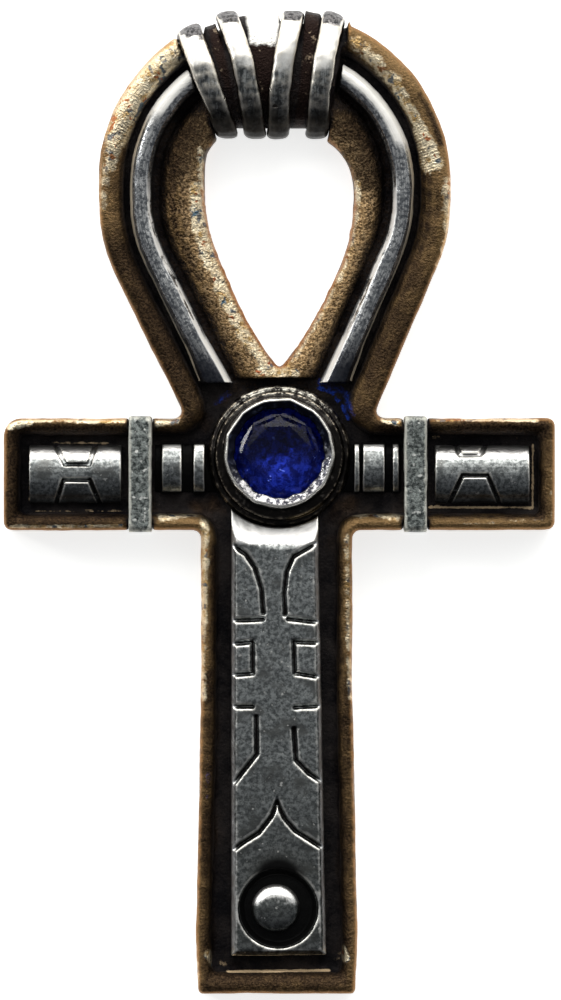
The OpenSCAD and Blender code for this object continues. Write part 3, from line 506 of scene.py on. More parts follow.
# File marks: fine dark lines about the middle of the loop, either round it or pointing away from it
loop_middle = (-0.22, 13.55)
filed, filed_in, filed_out = group_of("File marks",
    [["Round", 9000.0], ["Outward", 330.0]], ["Round", "Outward"])
where = placed(filed, "ShaderNodeTexCoord").outputs["Object"]
wavy = cloudy(filed, where, 900.0, 2)
from_middle = placed(filed, "ShaderNodeMapping",
    {"Vector": where, "Location": (-loop_middle[0]*MM, -loop_middle[1]*MM, 0)}).outputs["Vector"]
sides = placed(filed, "ShaderNodeSeparateXYZ", {"Vector": from_middle})
flat = placed(filed, "ShaderNodeCombineXYZ", {"X": sides.outputs["X"], "Y": sides.outputs["Y"]})
length = placed(filed, "ShaderNodeVectorMath", {0: flat.outputs["Vector"]}, operation="LENGTH")
angle = joined(filed, "ARCTAN2", sides.outputs["Y"], sides.outputs["X"])
for label, value in (("Round", length.outputs["Value"]), ("Outward", angle)):
    shaken = joined(filed, "MULTIPLY_ADD", value, filed_in.outputs[label])
    filed.links.new(times(filed, wavy, 9.0), shaken.node.inputs[2])
    lines = scaled(filed, joined(filed, "SINE", shaken, 0.0), 0.5, 0.5)
    filed.links.new(lines, filed_out.inputs[label])


def metal_named(name):
    """A new material, its node tree and its shader."""
    made = bpy.data.materials.new(name)
    made.use_nodes = True
    return made, made.node_tree, made.node_tree.nodes["Principled BSDF"]


def grouped(tree, group, **numbers):
    """A node group placed in a material, with its own values."""
    made = placed(tree, "ShaderNodeGroup", node_tree=group)
    for key, value in numbers.items():
        made.inputs[key.replace("_", " ")].default_value = value
    return made


def embossed(tree, shader, height, depth, strength=1.0):
    """Fine relief on a material, its depth in millimetres."""
    bump = placed(tree, "ShaderNodeBump", {"Height": height, "Distance": depth*MM, "Strength": strength})
    tree.links.new(bump.outputs["Normal"], shader.inputs["Normal"])
    return bump


def darkened(tree, shader, colour, bare):
    """Sets a colour that is metal where bare is 1 and matt where it is 0, as on tarnish and on painted shade
    and highlights.
    """
    tree.links.new(colour, shader.inputs["Base Color"])
    tree.links.new(bare, shader.inputs["Metallic"])
    shader.inputs["Specular IOR Level"].default_value = 0.06


bronze, tree, shader = metal_named("Antique bronze")
age = grouped(tree, patina, Shut=0.3, Clear=0.75, Wear_from=0.56, Wear_to=0.8, Blotch_size=420.0)
marks = grouped(tree, filed)
where = placed(tree, "ShaderNodeTexCoord").outputs["Object"]
mottle = ramped(tree, cloudy(tree, where, 560.0, 6, 0.75), 0.36, 0.66)
grit = ramped(tree, cloudy(tree, where, 9500.0, 2, 0.7), 0.36, 0.64)
grains = ramped(tree, cloudy(tree, where, 8200.0, 2, 0.6), 0.38, 0.62)
flecks = cloudy(tree, where, 2300.0, 4, 0.7)

# Brown metal, darker towards the inner side of a rim and in sooty places, gritty all over
brown = tinted(tree, mottle, (0.032, 0.02, 0.011, 1), (0.15, 0.092, 0.045, 1))
brown = tinted(tree, times(tree, grit, 0.4), brown, (0.3, 0.19, 0.095, 1))
inner = ramped(tree, broken(tree, mark_of(tree, "Inward"), flecks, 0.35), 0.38, 0.95)
inner_brown = tinted(tree, mottle, (0.016, 0.011, 0.009, 1), (0.07, 0.043, 0.025, 1))
brown = tinted(tree, inner, brown, inner_brown)

# The granular band is dark beside the wire and lighter towards the eye
near_eye = ramped(tree, broken(tree, mark_of(tree, "Eye edge"), flecks, 0.3), 0.0, 0.7)
band_dark = tinted(tree, near_eye, (0.02, 0.013, 0.009, 1), (0.17, 0.108, 0.056, 1))
band_light = tinted(tree, near_eye, (0.15, 0.095, 0.05, 1), (0.66, 0.46, 0.25, 1))
band_skin = tinted(tree, grains, band_dark, band_light)
skin = tinted(tree, mark_of(tree, "Band"), brown, band_skin)
soot_and_painted_shade = ramped(tree, broken(tree, mark_of(tree, "Sooty and painted shade"), mottle, 0.25), 0.1, 0.9)
soot_skin = tinted(tree, grit, (0.01, 0.007, 0.006, 1), (0.06, 0.038, 0.022, 1))
skin = tinted(tree, times(tree, soot_and_painted_shade, 0.86), skin, soot_skin)

# Rubbed crests are golden, with flecks of blue and red tarnish in the brightest of it
rubbed_and_painted_highlight = ramped(tree, broken(tree, mark_of(tree, "Rubbed and painted highlight"), flecks, 0.6), 0.4, 0.78)
gold = tinted(tree, ramped(tree, cloudy(tree, where, 1500.0, 4, 0.7), 0.36, 0.52),
    (0.52, 0.34, 0.14, 1), (1.0, 0.88, 0.64, 1))
blue_flecks = ramped(tree, cloudy(tree, where, 2000.0, 2, 0.5), 0.59, 0.65)
red_flecks = ramped(tree, cloudy(tree, where, 2300.0, 2, 0.5), 0.38, 0.33)
gold = tinted(tree, blue_flecks, gold, (0.09, 0.15, 0.2, 1))
gold = tinted(tree, red_flecks, gold, (0.42, 0.12, 0.05, 1))
skin = tinted(tree, rubbed_and_painted_highlight, skin, gold)
unsooted = joined(tree, "SUBTRACT", 1.0, soot_and_painted_shade)
edge_wear = times(tree, times(tree, age.outputs["Wear"], unsooted), 0.22)
skin = tinted(tree, edge_wear, skin, (0.6, 0.38, 0.16, 1))

# The outermost edges of the loop and of its eye are thin lines of bare orange metal
thin_edge = ramped(tree, broken(tree, mark_of(tree, "Rim edge"), flecks, 0.25), 0.6, 0.92)
skin = tinted(tree, times(tree, thin_edge, 0.5), skin, (0.46, 0.23, 0.08, 1))
eye_line = ramped(tree, broken(tree, mark_of(tree, "Eye edge"), flecks, 0.1), 0.87, 0.96)
eye_line = times(tree, eye_line, joined(tree, "SUBTRACT", 0.85, soot_and_painted_shade))
skin = tinted(tree, eye_line, skin, (0.4, 0.16, 0.045, 1))

# The upright walls are dark, since nobody's fingers reach them
wall_skin = tinted(tree, mottle, (0.016, 0.011, 0.008, 1), (0.09, 0.055, 0.028, 1))
skin = tinted(tree, times(tree, mark_of(tree, "Wall"), 0.85), skin, wall_skin)

# File marks darken the rim, some of them cut across it and finer ones along it
cut_across = times(tree, ramped(tree, marks.outputs["Outward"], 0.5, 0.2), ramped(tree, flecks, 0.42, 0.56))
cut_across = times(tree, cut_across, mark_of(tree, "Filed across"))
skin = tinted(tree, cut_across, skin, (0.06, 0.034, 0.014, 1))
cut_along = times(tree, ramped(tree, marks.outputs["Round"], 0.6, 0.2), 0.5)
cut_along = times(tree, cut_along, mark_of(tree, "Filed along"))
skin = tinted(tree, cut_along, skin, (0.02, 0.013, 0.008, 1))

# The neck: white in the middle of its top, burnished and painted as a highlight where it faces the light,
# black patina elsewhere, with pale flecks
height_y = placed(tree, "ShaderNodeSeparateXYZ", {"Vector": where}).outputs["Y"]
burnished_and_highlit_saddle = ramped(tree, broken(tree, height_y, flecks, 0.4*MM), 20.75*MM, 21.0*MM)
burnished_and_highlit_saddle = times(tree, burnished_and_highlit_saddle, mark_of(tree, "Saddle"))
neck_skin = tinted(tree, ramped(tree, flecks, 0.6, 0.72), (0.022, 0.014, 0.012, 1), (0.3, 0.23, 0.16, 1))
neck_skin = tinted(tree, burnished_and_highlit_saddle, neck_skin, (0.95, 0.93, 0.88, 1))
skin = tinted(tree, mark_of(tree, "Neck"), skin, neck_skin)

beside_band = times(tree, ramped(tree, mark_of(tree, "Beside band"), 0.0, 1.0), 0.5)
clean = joined(tree, "MAXIMUM", age.outputs["Clean"], times(tree, beside_band, grains))
black = tinted(tree, mottle, (0.006, 0.0055, 0.007, 1), (0.032, 0.027, 0.026, 1))
aged = tinted(tree, clean, black, skin)
stain = ramped(tree, broken(tree, mark_of(tree, "Stained"), flecks, 0.5), 0.4, 0.85)
stain_skin = tinted(tree, grit, (0.006, 0.014, 0.1, 1), (0.02, 0.07, 0.5, 1))
stained = tinted(tree, stain, aged, stain_skin)
# The bright lines are painted highlights: pale and matt along rim edges that face the light
painted_highlight_line = ramped(tree, broken(tree, mark_of(tree, "Painted highlight line"), flecks, 0.6), 0.5, 0.8)
lines_with_painted_light = tinted(tree, painted_highlight_line, stained, (0.7, 0.52, 0.32, 1))
matt = joined(tree, "MAXIMUM", stain, painted_highlight_line)
bare = times(tree, ramped(tree, clean, 0.0, 0.5), joined(tree, "SUBTRACT", 1.0, matt))
darkened(tree, shader, lines_with_painted_light, bare)
polish = placed(tree, "ShaderNodeMapRange", {"Value": rubbed_and_painted_highlight, "To Min": 0.5, "To Max": 0.3})
tree.links.new(polish.outputs["Result"], shader.inputs["Roughness"])
relief = times(tree, grains, scaled(tree, mark_of(tree, "Band"), 0.75, 0.25))
embossed(tree, shader, joined(tree, "ADD", relief, times(tree, grit, 0.3)), 0.05, 0.8)

finished(casting, bronze, casting_triangles, "frame")


# The wires are half-round silver, bent by hand to the channel of the loop, one down each leg. They are
# a little wavy and drawn lines run along them. Their edges carry painted highlights, thin outside and bright
# towards the eye, and the flank facing the eye is painted as shade.
wire_grid = 0.062
wave_low_z = 1.7
reach_inwards = 4
painted_highlight_over_y = 1.4

silver, tree, shader = metal_named("Drawn antique silver")
where = placed(tree, "ShaderNodeTexCoord").outputs["Object"]
along_y = placed(tree, "ShaderNodeSeparateXYZ", {"Vector": where}).outputs["Y"]
drawn = placed(tree, "ShaderNodeCombineXYZ", {
    "X": times(tree, mark_of(tree, "Across"), 60.0),
    "Y": times(tree, along_y, 700.0)}).outputs["Vector"]
lines = cloudy(tree, drawn, 1.0, 3, 0.6)
speckle = cloudy(tree, where, 6500.0, 3, 0.7)
blotches = cloudy(tree, where, 900.0, 4, 0.6)
grey = tinted(tree, ramped(tree, lines, 0.36, 0.64), (0.28, 0.29, 0.3, 1), (0.74, 0.74, 0.73, 1))
grey = tinted(tree, ramped(tree, speckle, 0.56, 0.4), grey, (0.14, 0.15, 0.165, 1))
legs = ramped(tree, along_y, 8.5*MM, 5.8*MM)
grey = tinted(tree, times(tree, legs, 0.95), grey, (0.02, 0.022, 0.032, 1))
# Painted highlights, pale and matt: a broken bright line on the side towards the eye, a thin line on the
# outer edge, and the outer half near the wraps
inner_painted_highlight = ramped(tree, mark_of(tree, "Side"), 0.66, 0.78)
inner_painted_highlight = times(tree, inner_painted_highlight, ramped(tree, mark_of(tree, "Side"), 0.97, 0.9))
streaks = ramped(tree, broken(tree, blotches, lines, 0.3), 0.42, 0.5)
streaks = joined(tree, "MAXIMUM", streaks, ramped(tree, along_y, 9*MM, 7*MM))
inner_painted_highlight = times(tree, inner_painted_highlight, streaks)
inner_painted_highlight = times(tree, inner_painted_highlight, ramped(tree, along_y, 15.5*MM, 13.5*MM))
outer_painted_highlight = ramped(tree, broken(tree, mark_of(tree, "Side"), lines, 0.02), 0.09, 0.05)
near_wraps = ramped(tree, broken(tree, mark_of(tree, "Near wraps"), blotches, 0.5), 0.2, 0.9)
outer_half_painted_highlight = ramped(tree, broken(tree, mark_of(tree, "Side"), lines, 0.1), 0.6, 0.45)
outer_half_painted_highlight = times(tree, near_wraps, outer_half_painted_highlight)
shaded = ramped(tree, mark_of(tree, "Side"), 0.93, 1.0)
polish_and_painted_light = tinted(tree, shaded, grey, (0.05, 0.04, 0.035, 1))
polish_and_painted_light = tinted(tree, inner_painted_highlight, polish_and_painted_light, (0.96, 0.94, 0.9, 1))
polish_and_painted_light = tinted(tree, outer_painted_highlight, polish_and_painted_light, (0.66, 0.56, 0.42, 1))
polish_and_painted_light = tinted(tree, outer_half_painted_highlight, polish_and_painted_light, (0.95, 0.93, 0.88, 1))
foot_dark = ramped(tree, mark_of(tree, "Open"), 0.0, 0.25)
tree.links.new(tinted(tree, foot_dark, (0.02, 0.018, 0.017, 1), polish_and_painted_light), shader.inputs["Base Color"])
wire_painted_highlights = joined(tree, "MAXIMUM", joined(tree, "MAXIMUM", inner_painted_highlight, outer_painted_highlight), outer_half_painted_highlight)
bare = joined(tree, "SUBTRACT", 0.9, times(tree, wire_painted_highlights, 0.75))
tree.links.new(bare, shader.inputs["Metallic"])
shader.inputs["Roughness"].default_value = 0.27
embossed(tree, shader, joined(tree, "ADD", lines, times(tree, speckle, 0.6)), 0.022, 0.6)

for side, seed, painted_highlight_low_y in (("left", 3, 16.8), ("right", 4, 15.5)):
    wire = poured(f"wire_of_{side}_leg", f"wire_{side}", wire_grid, 3)
    places, normals = points_of(wire.data)
    wave = unevenness(places, 1.5, seed)*0.05 + unevenness(places, 0.5, seed + 10)*0.016
    set_points(wire.data, places + normals*(wave*risen(places[:, 2], wave_low_z, 0.4))[:, None])
    marked(wire, "Across", distance_to(places, outer_wall)/reach_inwards)
    loop_y = np.maximum(places[:, 1], loop_middle[1])
    to_eye = np.stack([loop_middle[0] - places[:, 0], loop_middle[1] - loop_y])
    to_eye /= np.hypot(*to_eye)
    facing = normals[:, 0]*to_eye[0] + normals[:, 1]*to_eye[1]
    marked(wire, "Side", 0.5 + 0.5*spread(wire.data, facing, 2))
    marked(wire, "Near wraps", (places[:, 1] - painted_highlight_low_y)/painted_highlight_over_y)
    finished(wire, silver, 40000, f"wire_{side}")


# The wraps are four silver straps wound round the neck of the loop and closed behind. Their faces are
# brushed lengthwise; their tops are painted white as a highlight, and they are painted dark as shade
# towards the eye.
wrap_grid = 0.07

wrap_silver, tree, shader = metal_named("Brushed strap silver")
age = grouped(tree, patina, Shut=0.02, Clear=0.5, Wear_from=0.53, Wear_to=0.66, Blotch_size=800.0)
where = placed(tree, "ShaderNodeTexCoord").outputs["Object"]
height_y = placed(tree, "ShaderNodeSeparateXYZ", {"Vector": where}).outputs["Y"]
lengthwise = placed(tree, "ShaderNodeMapping", {"Vector": where, "Scale": (1.0, 0.06, 0.3)})
strokes = cloudy(tree, lengthwise.outputs["Vector"], 8000.0, 4, 0.65)
speckle = cloudy(tree, where, 6500.0, 3, 0.7)
blotches = cloudy(tree, where, 700.0, 4, 0.7)
grey = tinted(tree, ramped(tree, strokes, 0.36, 0.62), (0.07, 0.075, 0.08, 1), (0.44, 0.45, 0.44, 1))
grey = tinted(tree, ramped(tree, speckle, 0.58, 0.4), grey, (0.08, 0.085, 0.085, 1))
# The tops of the straps are painted white, as a highlight where they face the light
painted_strap_top_highlight = ramped(tree, broken(tree, height_y, blotches, 1.3*MM), 19.5*MM, 20.3*MM)
grey = tinted(tree, painted_strap_top_highlight, grey, (0.95, 0.93, 0.89, 1))
grey = tinted(tree, age.outputs["Wear"], grey, (0.84, 0.78, 0.68, 1))
# Towards the eye the straps are painted dark, as shade, and their lower ends are matt black
painted_lower_shade = ramped(tree, broken(tree, height_y, blotches, 1.0*MM), 19.3*MM, 17.2*MM)
grey = tinted(tree, times(tree, painted_lower_shade, 0.92), grey, (0.03, 0.026, 0.022, 1))
# The ends that face the top of the loop are painted a darker grey, as shade
crown = ramped(tree, broken(tree, mark_of(tree, "Crown"), blotches, 0.6), 0.2, 0.6)
painted_crown_shade = tinted(tree, ramped(tree, speckle, 0.4, 0.6), (0.035, 0.034, 0.036, 1), (0.22, 0.21, 0.21, 1))
grey = tinted(tree, crown, grey, painted_crown_shade)
# The sides of the straps are painted dark, as shade
painted_flank_shade = ramped(tree, broken(tree, mark_of(tree, "Flank"), speckle, 0.2), 0.35, 0.8)
grey = tinted(tree, painted_flank_shade, grey, (0.03, 0.022, 0.018, 1))
pits = ramped(tree, cloudy(tree, where, 2100.0, 1, 0.4), 0.23, 0.2)
grey = tinted(tree, pits, grey, (0.05, 0.045, 0.04, 1))
clean = age.outputs["Clean"]
black_end = ramped(tree, height_y, 17.6*MM, 17.1*MM)
bare = times(tree, ramped(tree, clean, 0.0, 0.4), joined(tree, "SUBTRACT", 1.0, black_end))
darkened(tree, shader, tinted(tree, clean, (0.006, 0.005, 0.005, 1), grey), bare)
shader.inputs["Roughness"].default_value = 0.3
embossed(tree, shader, joined(tree, "SUBTRACT", strokes, pits), 0.022, 0.7)

# Each strap is bent a little. Columns: how much higher its top stands, and its shifts sideways at four
# heights
bend_heights = [17.0, 18.6, 20.3, 22.2]
bend_rows = [
    [0.1, 0, -0.03, -0.05, -0.12],
    [0.2, 0, 0.1, 0.14, -0.24],
    [0.1, -0.1, -0.24, -0.22, 0],
    [0.32, 0, -0.2, -0.26, -0.05]]
top_low_y, top_ease = 20.8, 0.9
dent_low_z = 0.5
for number, (top_rise, *shifts) in enumerate(bend_rows, 1):
    wrap = poured(f"strap_{number}", f"wrap_{number}", wrap_grid, 3)
    places, normals = points_of(wrap.data)
    rise = top_rise*risen(places[:, 1], top_low_y, top_ease)
    places = places + np.stack([np.interp(places[:, 1], bend_heights, shifts), rise, rise*0], axis=1)
    dents = unevenness(places, 1.1, 20 + number)*0.04 + unevenness(places, 0.4, 30 + number)*0.018
    set_points(wrap.data, places + normals*(dents*risen(places[:, 2], dent_low_z, 0.6))[:, None])
    worn(wrap, 8, 6)
    marked(wrap, "Crown", (normals[:, 1] - 0.55)/0.25)
    marked(wrap, "Flank", (abs(normals[:, 0]) - 0.7)/0.25)
    finished(wrap, wrap_silver, 30000, f"wrap_{number}")


# The setting is a round silver cup on a dark stepped flange. Its thin lip was pressed in over the edge of
# the stone a little at a time, so its crest runs in short flats and its inner wall is scalloped.
setting_grid = 0.055

setting_silver, tree, shader = metal_named("Setting silver")
age = grouped(tree, patina, Shut=0.14, Clear=0.52, Wear_from=0.54, Wear_to=0.66, Blotch_size=1500.0)
where = placed(tree, "ShaderNodeTexCoord").outputs["Object"]
height = placed(tree, "ShaderNodeSeparateXYZ", {"Vector": where}).outputs["Z"]
lip_share = ramped(tree, height, 2.95*MM, 3.2*MM)
speckle = cloudy(tree, where, 3000.0, 4, 0.8)
# Pale specks are painted on the upper side of the flange ring, as a highlight where it faces the light
upper_ring_painted_highlight = times(tree, ramped(tree, speckle, 0.46, 0.58), mark_of(tree, "Upper ring"))
flange_skin = tinted(tree, ramped(tree, speckle, 0.55, 0.72),
    (0.014, 0.012, 0.011, 1), (0.16, 0.14, 0.12, 1))
flange_skin = tinted(tree, upper_ring_painted_highlight, flange_skin, (0.5, 0.48, 0.42, 1))
thin_rings = times(tree, age.outputs["Wear"], ramped(tree, speckle, 0.44, 0.58))
flange_skin = tinted(tree, thin_rings, flange_skin, (0.5, 0.42, 0.32, 1))
dark_wall = tinted(tree, ramped(tree, speckle, 0.5, 0.7), (0.012, 0.013, 0.025, 1), (0.11, 0.13, 0.2, 1))
bright_wall = tinted(tree, ramped(tree, speckle, 0.45, 0.55), (0.04, 0.04, 0.055, 1), (0.58, 0.57, 0.57, 1))
lit = ramped(tree, broken(tree, mark_of(tree, "Lit wall"), speckle, 0.35), 0.38, 0.72)
wall = tinted(tree, lit, dark_wall, bright_wall)
crest = ramped(tree, mark_of(tree, "Crest"), 0.35, 0.7)
lip_skin = tinted(tree, crest, wall, (0.93, 0.9, 0.84, 1))
aged = tinted(tree, age.outputs["Clean"], (0.008, 0.0065, 0.0065, 1), flange_skin)
aged = tinted(tree, mark_of(tree, "Golden arc"), aged, (0.85, 0.62, 0.32, 1))
tree.links.new(tinted(tree, lip_share, aged, lip_skin), shader.inputs["Base Color"])
shader.inputs["Metallic"].default_value = 0.9
shader.inputs["Roughness"].default_value = 0.24
embossed(tree, shader, speckle, 0.035, 0.8)

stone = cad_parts["stone"]
stone_low, stone_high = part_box("stone")
stone_middle = (Vector(stone_low) + Vector(stone_high))/2/MM
setting = poured("setting", "bezel", setting_grid, 1)
places, normals = points_of(setting.data)
lip_r, lip_low_z, crest_half_w = 2.5, 2.9, 0.14
scallop_r, scallop_t = 2.4, 0.035
arc_r, arc_half_w, arc_turn = 3.03, 0.07, -1.16
ring_in_r, ring_out_r, ring_ease = 2.66, 3.22, 0.08
lip_share = risen(places[:, 2], lip_low_z, 0.4)
spokes = places[:, :2] - np.array(stone_middle[:2])
turn = np.arctan2(spokes[:, 1], spokes[:, 0])
out = np.hypot(spokes[:, 0], spokes[:, 1])
flats = abs(np.sin(turn*6.5 + 0.6))*0.045 + abs(np.sin(turn*4.5))*0.03
scallops = np.sin(turn*15 + np.sin(turn*4)*1.3)*scallop_t*risen(scallop_r - out, 0, 0.15)
inwards = -spokes/np.maximum(out, 0.01)[:, None]
shaped = places + normals*(unevenness(places, 0.35, 42)*0.018)[:, None]
shaped[:, :2] += inwards*((flats + scallops)*lip_share)[:, None]
set_points(setting.data, shaped)
worn(setting, 6, 6)
marked(setting, "Crest", 1 - abs(out - lip_r)/crest_half_w)
marked(setting, "Lit wall", 0.5 - (spokes[:, 1] + 0.45 - spokes[:, 0]*0.25)/np.maximum(out, 0.01)*0.6)
arc = np.clip(1.3 - abs(out - arc_r)/arc_half_w, 0, 1)
marked(setting, "Golden arc", arc*np.clip(12*np.cos(turn - arc_turn) - 11.4, 0, 1))
upper_ring = risen(out, ring_in_r, ring_ease)*risen(ring_out_r - out, 0, ring_ease)
marked(setting, "Upper ring", upper_ring*np.clip(np.sin(turn)*2.2 - 0.9, 0, 1))
finished(setting, setting_silver, 100000, "bezel")


# The stone is a round brilliant of deep royal blue glass. Its pavilion is foiled, so light that enters
# the crown comes back out of it blue.
glass, tree, shader = metal_named("Royal blue glass")
shader.inputs["Base Color"].default_value = (0.1, 0.15, 0.6, 1)
shader.inputs["Roughness"].default_value = 0.03
shader.inputs["IOR"].default_value = 1.3
shader.inputs["Transmission Weight"].default_value = 1.0
foil, tree, shader = metal_named("Blue foil")
where = placed(tree, "ShaderNodeTexCoord").outputs["Object"]
crumpled = cloudy(tree, where, 2600.0, 4, 0.7)
foil_skin = tinted(tree, ramped(tree, crumpled, 0.42, 0.62),
    (0.02, 0.035, 0.14, 1), (0.095, 0.155, 0.51, 1))
sparks = ramped(tree, cloudy(tree, where, 3300.0, 1, 0.4), 0.7, 0.74)
foil_skin = tinted(tree, sparks, foil_skin, (0.8, 0.9, 1.0, 1))
tree.links.new(foil_skin, shader.inputs["Base Color"])
shader.inputs["Metallic"].default_value = 1.0
shader.inputs["Roughness"].default_value = 0.35
embossed(tree, shader, crumpled, 0.09, 0.9)
cut = bmesh.new()
cut.from_mesh(stone.data)
bmesh.ops.remove_doubles(cut, verts=cut.verts, dist=0.0001*MM)
bmesh.ops.dissolve_limit(cut, angle_limit=math.radians(0.5), verts=cut.verts, edges=cut.edges)
for face in cut.faces:
    face.smooth = False
    face.material_index = 1 if face.normal.z < -0.1 else 0
facets = bpy.data.meshes.new("Stone")
cut.to_mesh(facets)
cut.free()
facets.materials.append(glass)
facets.materials.append(foil)
gem = bpy.data.objects.new("blue_stone", facets)
bpy.context.scene.collection.objects.link(gem)
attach(gem, "root")
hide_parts("stone")


# The plate down the shaft is silver, cast with its engraved lines and its dish, and the boss sits in the
# dish. The bars in the arms are silver too. Lines and dish are black, and the plate tarnishes to its foot.
# Tops that face the light are painted white as highlights, and sides turned from it are painted as shade.
engraved, tree, shader = metal_named("Engraved silver")
age = grouped(tree, patina, Shut=0.1, Clear=0.6, Wear_from=0.55, Wear_to=0.7, Blotch_size=600.0)
where = placed(tree, "ShaderNodeTexCoord").outputs["Object"]
height_y = placed(tree, "ShaderNodeSeparateXYZ", {"Vector": where}).outputs["Y"]
fine = cloudy(tree, where, 5200.0, 4, 0.75)
clouds = cloudy(tree, where, 900.0, 4, 0.6)
grey = tinted(tree, ramped(tree, fine, 0.38, 0.64), (0.13, 0.14, 0.14, 1), (0.44, 0.46, 0.455, 1))
grey = tinted(tree, ramped(tree, clouds, 0.5, 0.66), grey, (0.16, 0.165, 0.16, 1))
towards_foot = ramped(tree, height_y, -7*MM, -20*MM)
grey = tinted(tree, times(tree, towards_foot, 0.62), grey, (0.04, 0.042, 0.038, 1))
specks = ramped(tree, cloudy(tree, where, 3600.0, 2, 0.6), 0.66, 0.74)
grey = tinted(tree, specks, grey, (0.75, 0.74, 0.7, 1))
# Where marked, the silver is painted white: a highlight on tops facing the light, and rubbed pale bevels on
# the plate
painted_inlay_top_highlight = ramped(tree, broken(tree, mark_of(tree, "Rubbed and painted highlight"), fine, 0.3), 0.3, 0.7)
grey = tinted(tree, painted_inlay_top_highlight, grey, (0.97, 0.96, 0.94, 1))
polish_and_painted_light = tinted(tree, age.outputs["Wear"], grey, (0.95, 0.93, 0.87, 1))
# The engraved lines are black: patina in them, and painted shade on their walls turned from the light
lines_with_painted_light = ramped(tree, broken(tree, mark_of(tree, "Groove"), fine, 0.15), 0.2, 0.5)
polish_and_painted_light = tinted(tree, lines_with_painted_light, polish_and_painted_light, (0.006, 0.005, 0.005, 1))
aged = tinted(tree, age.outputs["Clean"], (0.006, 0.0055, 0.006, 1), polish_and_painted_light)
# Black where marked: patina in the dish and between the ribs, and painted shade on the lower sides of the
# bars and over the upper dish
sooted_and_shaded = ramped(tree, broken(tree, mark_of(tree, "Sooty and painted shade"), fine, 0.12), 0.15, 0.8)
matt = joined(tree, "MAXIMUM", sooted_and_shaded, lines_with_painted_light)
bare = times(tree, ramped(tree, age.outputs["Clean"], 0.0, 0.4), joined(tree, "SUBTRACT", 1.0, matt))
darkened(tree, shader, tinted(tree, sooted_and_shaded, aged, (0.004, 0.004, 0.004, 1)), bare)
shader.inputs["Roughness"].default_value = 0.32
embossed(tree, shader, fine, 0.03, 0.6)

boss_low, boss_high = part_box("shaft_boss")
dish_right_of_boss = 0.12
dish_middle = (dish_right_of_boss + (boss_low[0] + boss_high[0])/2/MM, (boss_low[1] + boss_high[1])/2/MM)
dish_r, dish_high_z = 1.85, 2.42
# Painted shade over the upper half of the dish, on the side turned from the light
dish_upper_shade = [[1.3, 1.3, [(dish_middle[0], dish_middle[1] + 1.2)]]]
chamfer_t, chamfer_low_z = 0.085, 1.75
plate_left_x = -2.18
bevel_w = 0.16

# Columns: title, CAD node, grid of its skin, most triangles
inlay_rows = [
    ["engraved_plate", "shaft_plate", 0.052, 190000],
    ["boss", "shaft_boss", 0.05, 20000],
    ["barrel_inlay_left", "barrel_left", 0.048, 60000],
    ["barrel_inlay_right", "barrel_right", 0.048, 60000],
    ["rib_inlay_left", "ribs_left", 0.05, 40000],
    ["rib_inlay_right", "ribs_right", 0.05, 40000]]
line_t, line_ease = 0.016, 0.02
for title, node, grid, most in inlay_rows:
    inlay = poured(title, node, grid, 1)
    places, normals = points_of(inlay.data)
    sunk = spread(inlay.data, places[:, 2], 12) - places[:, 2]
    shut = risen(sunk, line_t, line_ease)*risen(abs(normals[:, 2]) + sunk*6, 0.5, 0.2)
    plate_right_x = np.interp(places[:, 1], (-20, -2), (2.12, 1.75))
    from_side = np.minimum(places[:, 0] - plate_left_x, plate_right_x - places[:, 0])
    if title == "engraved_plate":
        shut *= risen(from_side, bevel_w, 0.1)
    dents = unevenness(places, 1.3, 50)*0.02 + unevenness(places, 0.35, 51)*0.01
    shaped = places + normals*dents[:, None]
    shaped[:, 2] -= spread(inlay.data, shut, 6)*chamfer_t*(places[:, 2] > chamfer_low_z)
    set_points(inlay.data, shaped)
    worn(inlay, 6, 7)
    normals = points_of(inlay.data)[1]
    # A groove is marked together with its walls that are turned from the light, where shade is painted
    marked(inlay, "Groove", shut*risen(0.42 - normals[:, 1], 0, 0.2))
    soot_and_painted_shade = np.zeros(len(places))
    rubbed_and_painted_highlight = np.zeros(len(places))
    if title == "engraved_plate":
        from_dish = np.hypot(places[:, 0] - dish_middle[0], places[:, 1] - dish_middle[1])
        in_dish = risen(dish_high_z - places[:, 2], 0, 0.1)*(from_dish < dish_r)
        soot_and_painted_shade = np.maximum(in_dish, charted(places, dish_upper_shade)*(places[:, 1] > dish_middle[1]))
        # The top of the plate is painted white as a highlight, and its bevels are rubbed pale
        rubbed_and_painted_highlight = risen(places[:, 1], -2.2, 0.5)
        left_w = np.interp(places[:, 1], (-16, -15.4, -11.5, -10.8), (0.27, 0.2, 0.2, bevel_w))
        bevel = 0.85*np.clip(1.4 - from_side/bevel_w, 0, 1)
        bevel = np.maximum(bevel, 0.7*np.clip(1.4 - (places[:, 0] - plate_left_x)/left_w, 0, 1))
        rubbed_and_painted_highlight = np.maximum(rubbed_and_painted_highlight, bevel*risen(places[:, 2], 1.95, 0.1))
    elif title == "boss":
        # The boss is painted lighter on the side that faces the light, as a highlight
        rubbed_and_painted_highlight = 0.3 + 0.6*np.clip(normals[:, 1]*3 - 0.2, -1, 1)
    elif title.startswith("barrel"):
        # A bar is painted white along its top, as a highlight, and dark along its lower side, as shade
        rubbed_and_painted_highlight = risen(places[:, 1], 1.75, 0.4)
        soot_and_painted_shade = 0.85*risen(0.35 - places[:, 1], 0, 0.5)
    else:
        # A rib is black in its low parts and painted white along its top, as a highlight
        soot_and_painted_shade = risen(2.2 - places[:, 2], 0, 0.2)
        rubbed_and_painted_highlight = risen(places[:, 1], 2.2, 0.3)
    marked(inlay, "Sooty and painted shade", soot_and_painted_shade)
    marked(inlay, "Rubbed and painted highlight", rubbed_and_painted_highlight)
    finished(inlay, engraved, most, node)


# The collars are flat straps of dull pewter, bent round the two arms and closed behind. They are granular
# and have no patina.
collar_grid = 0.07

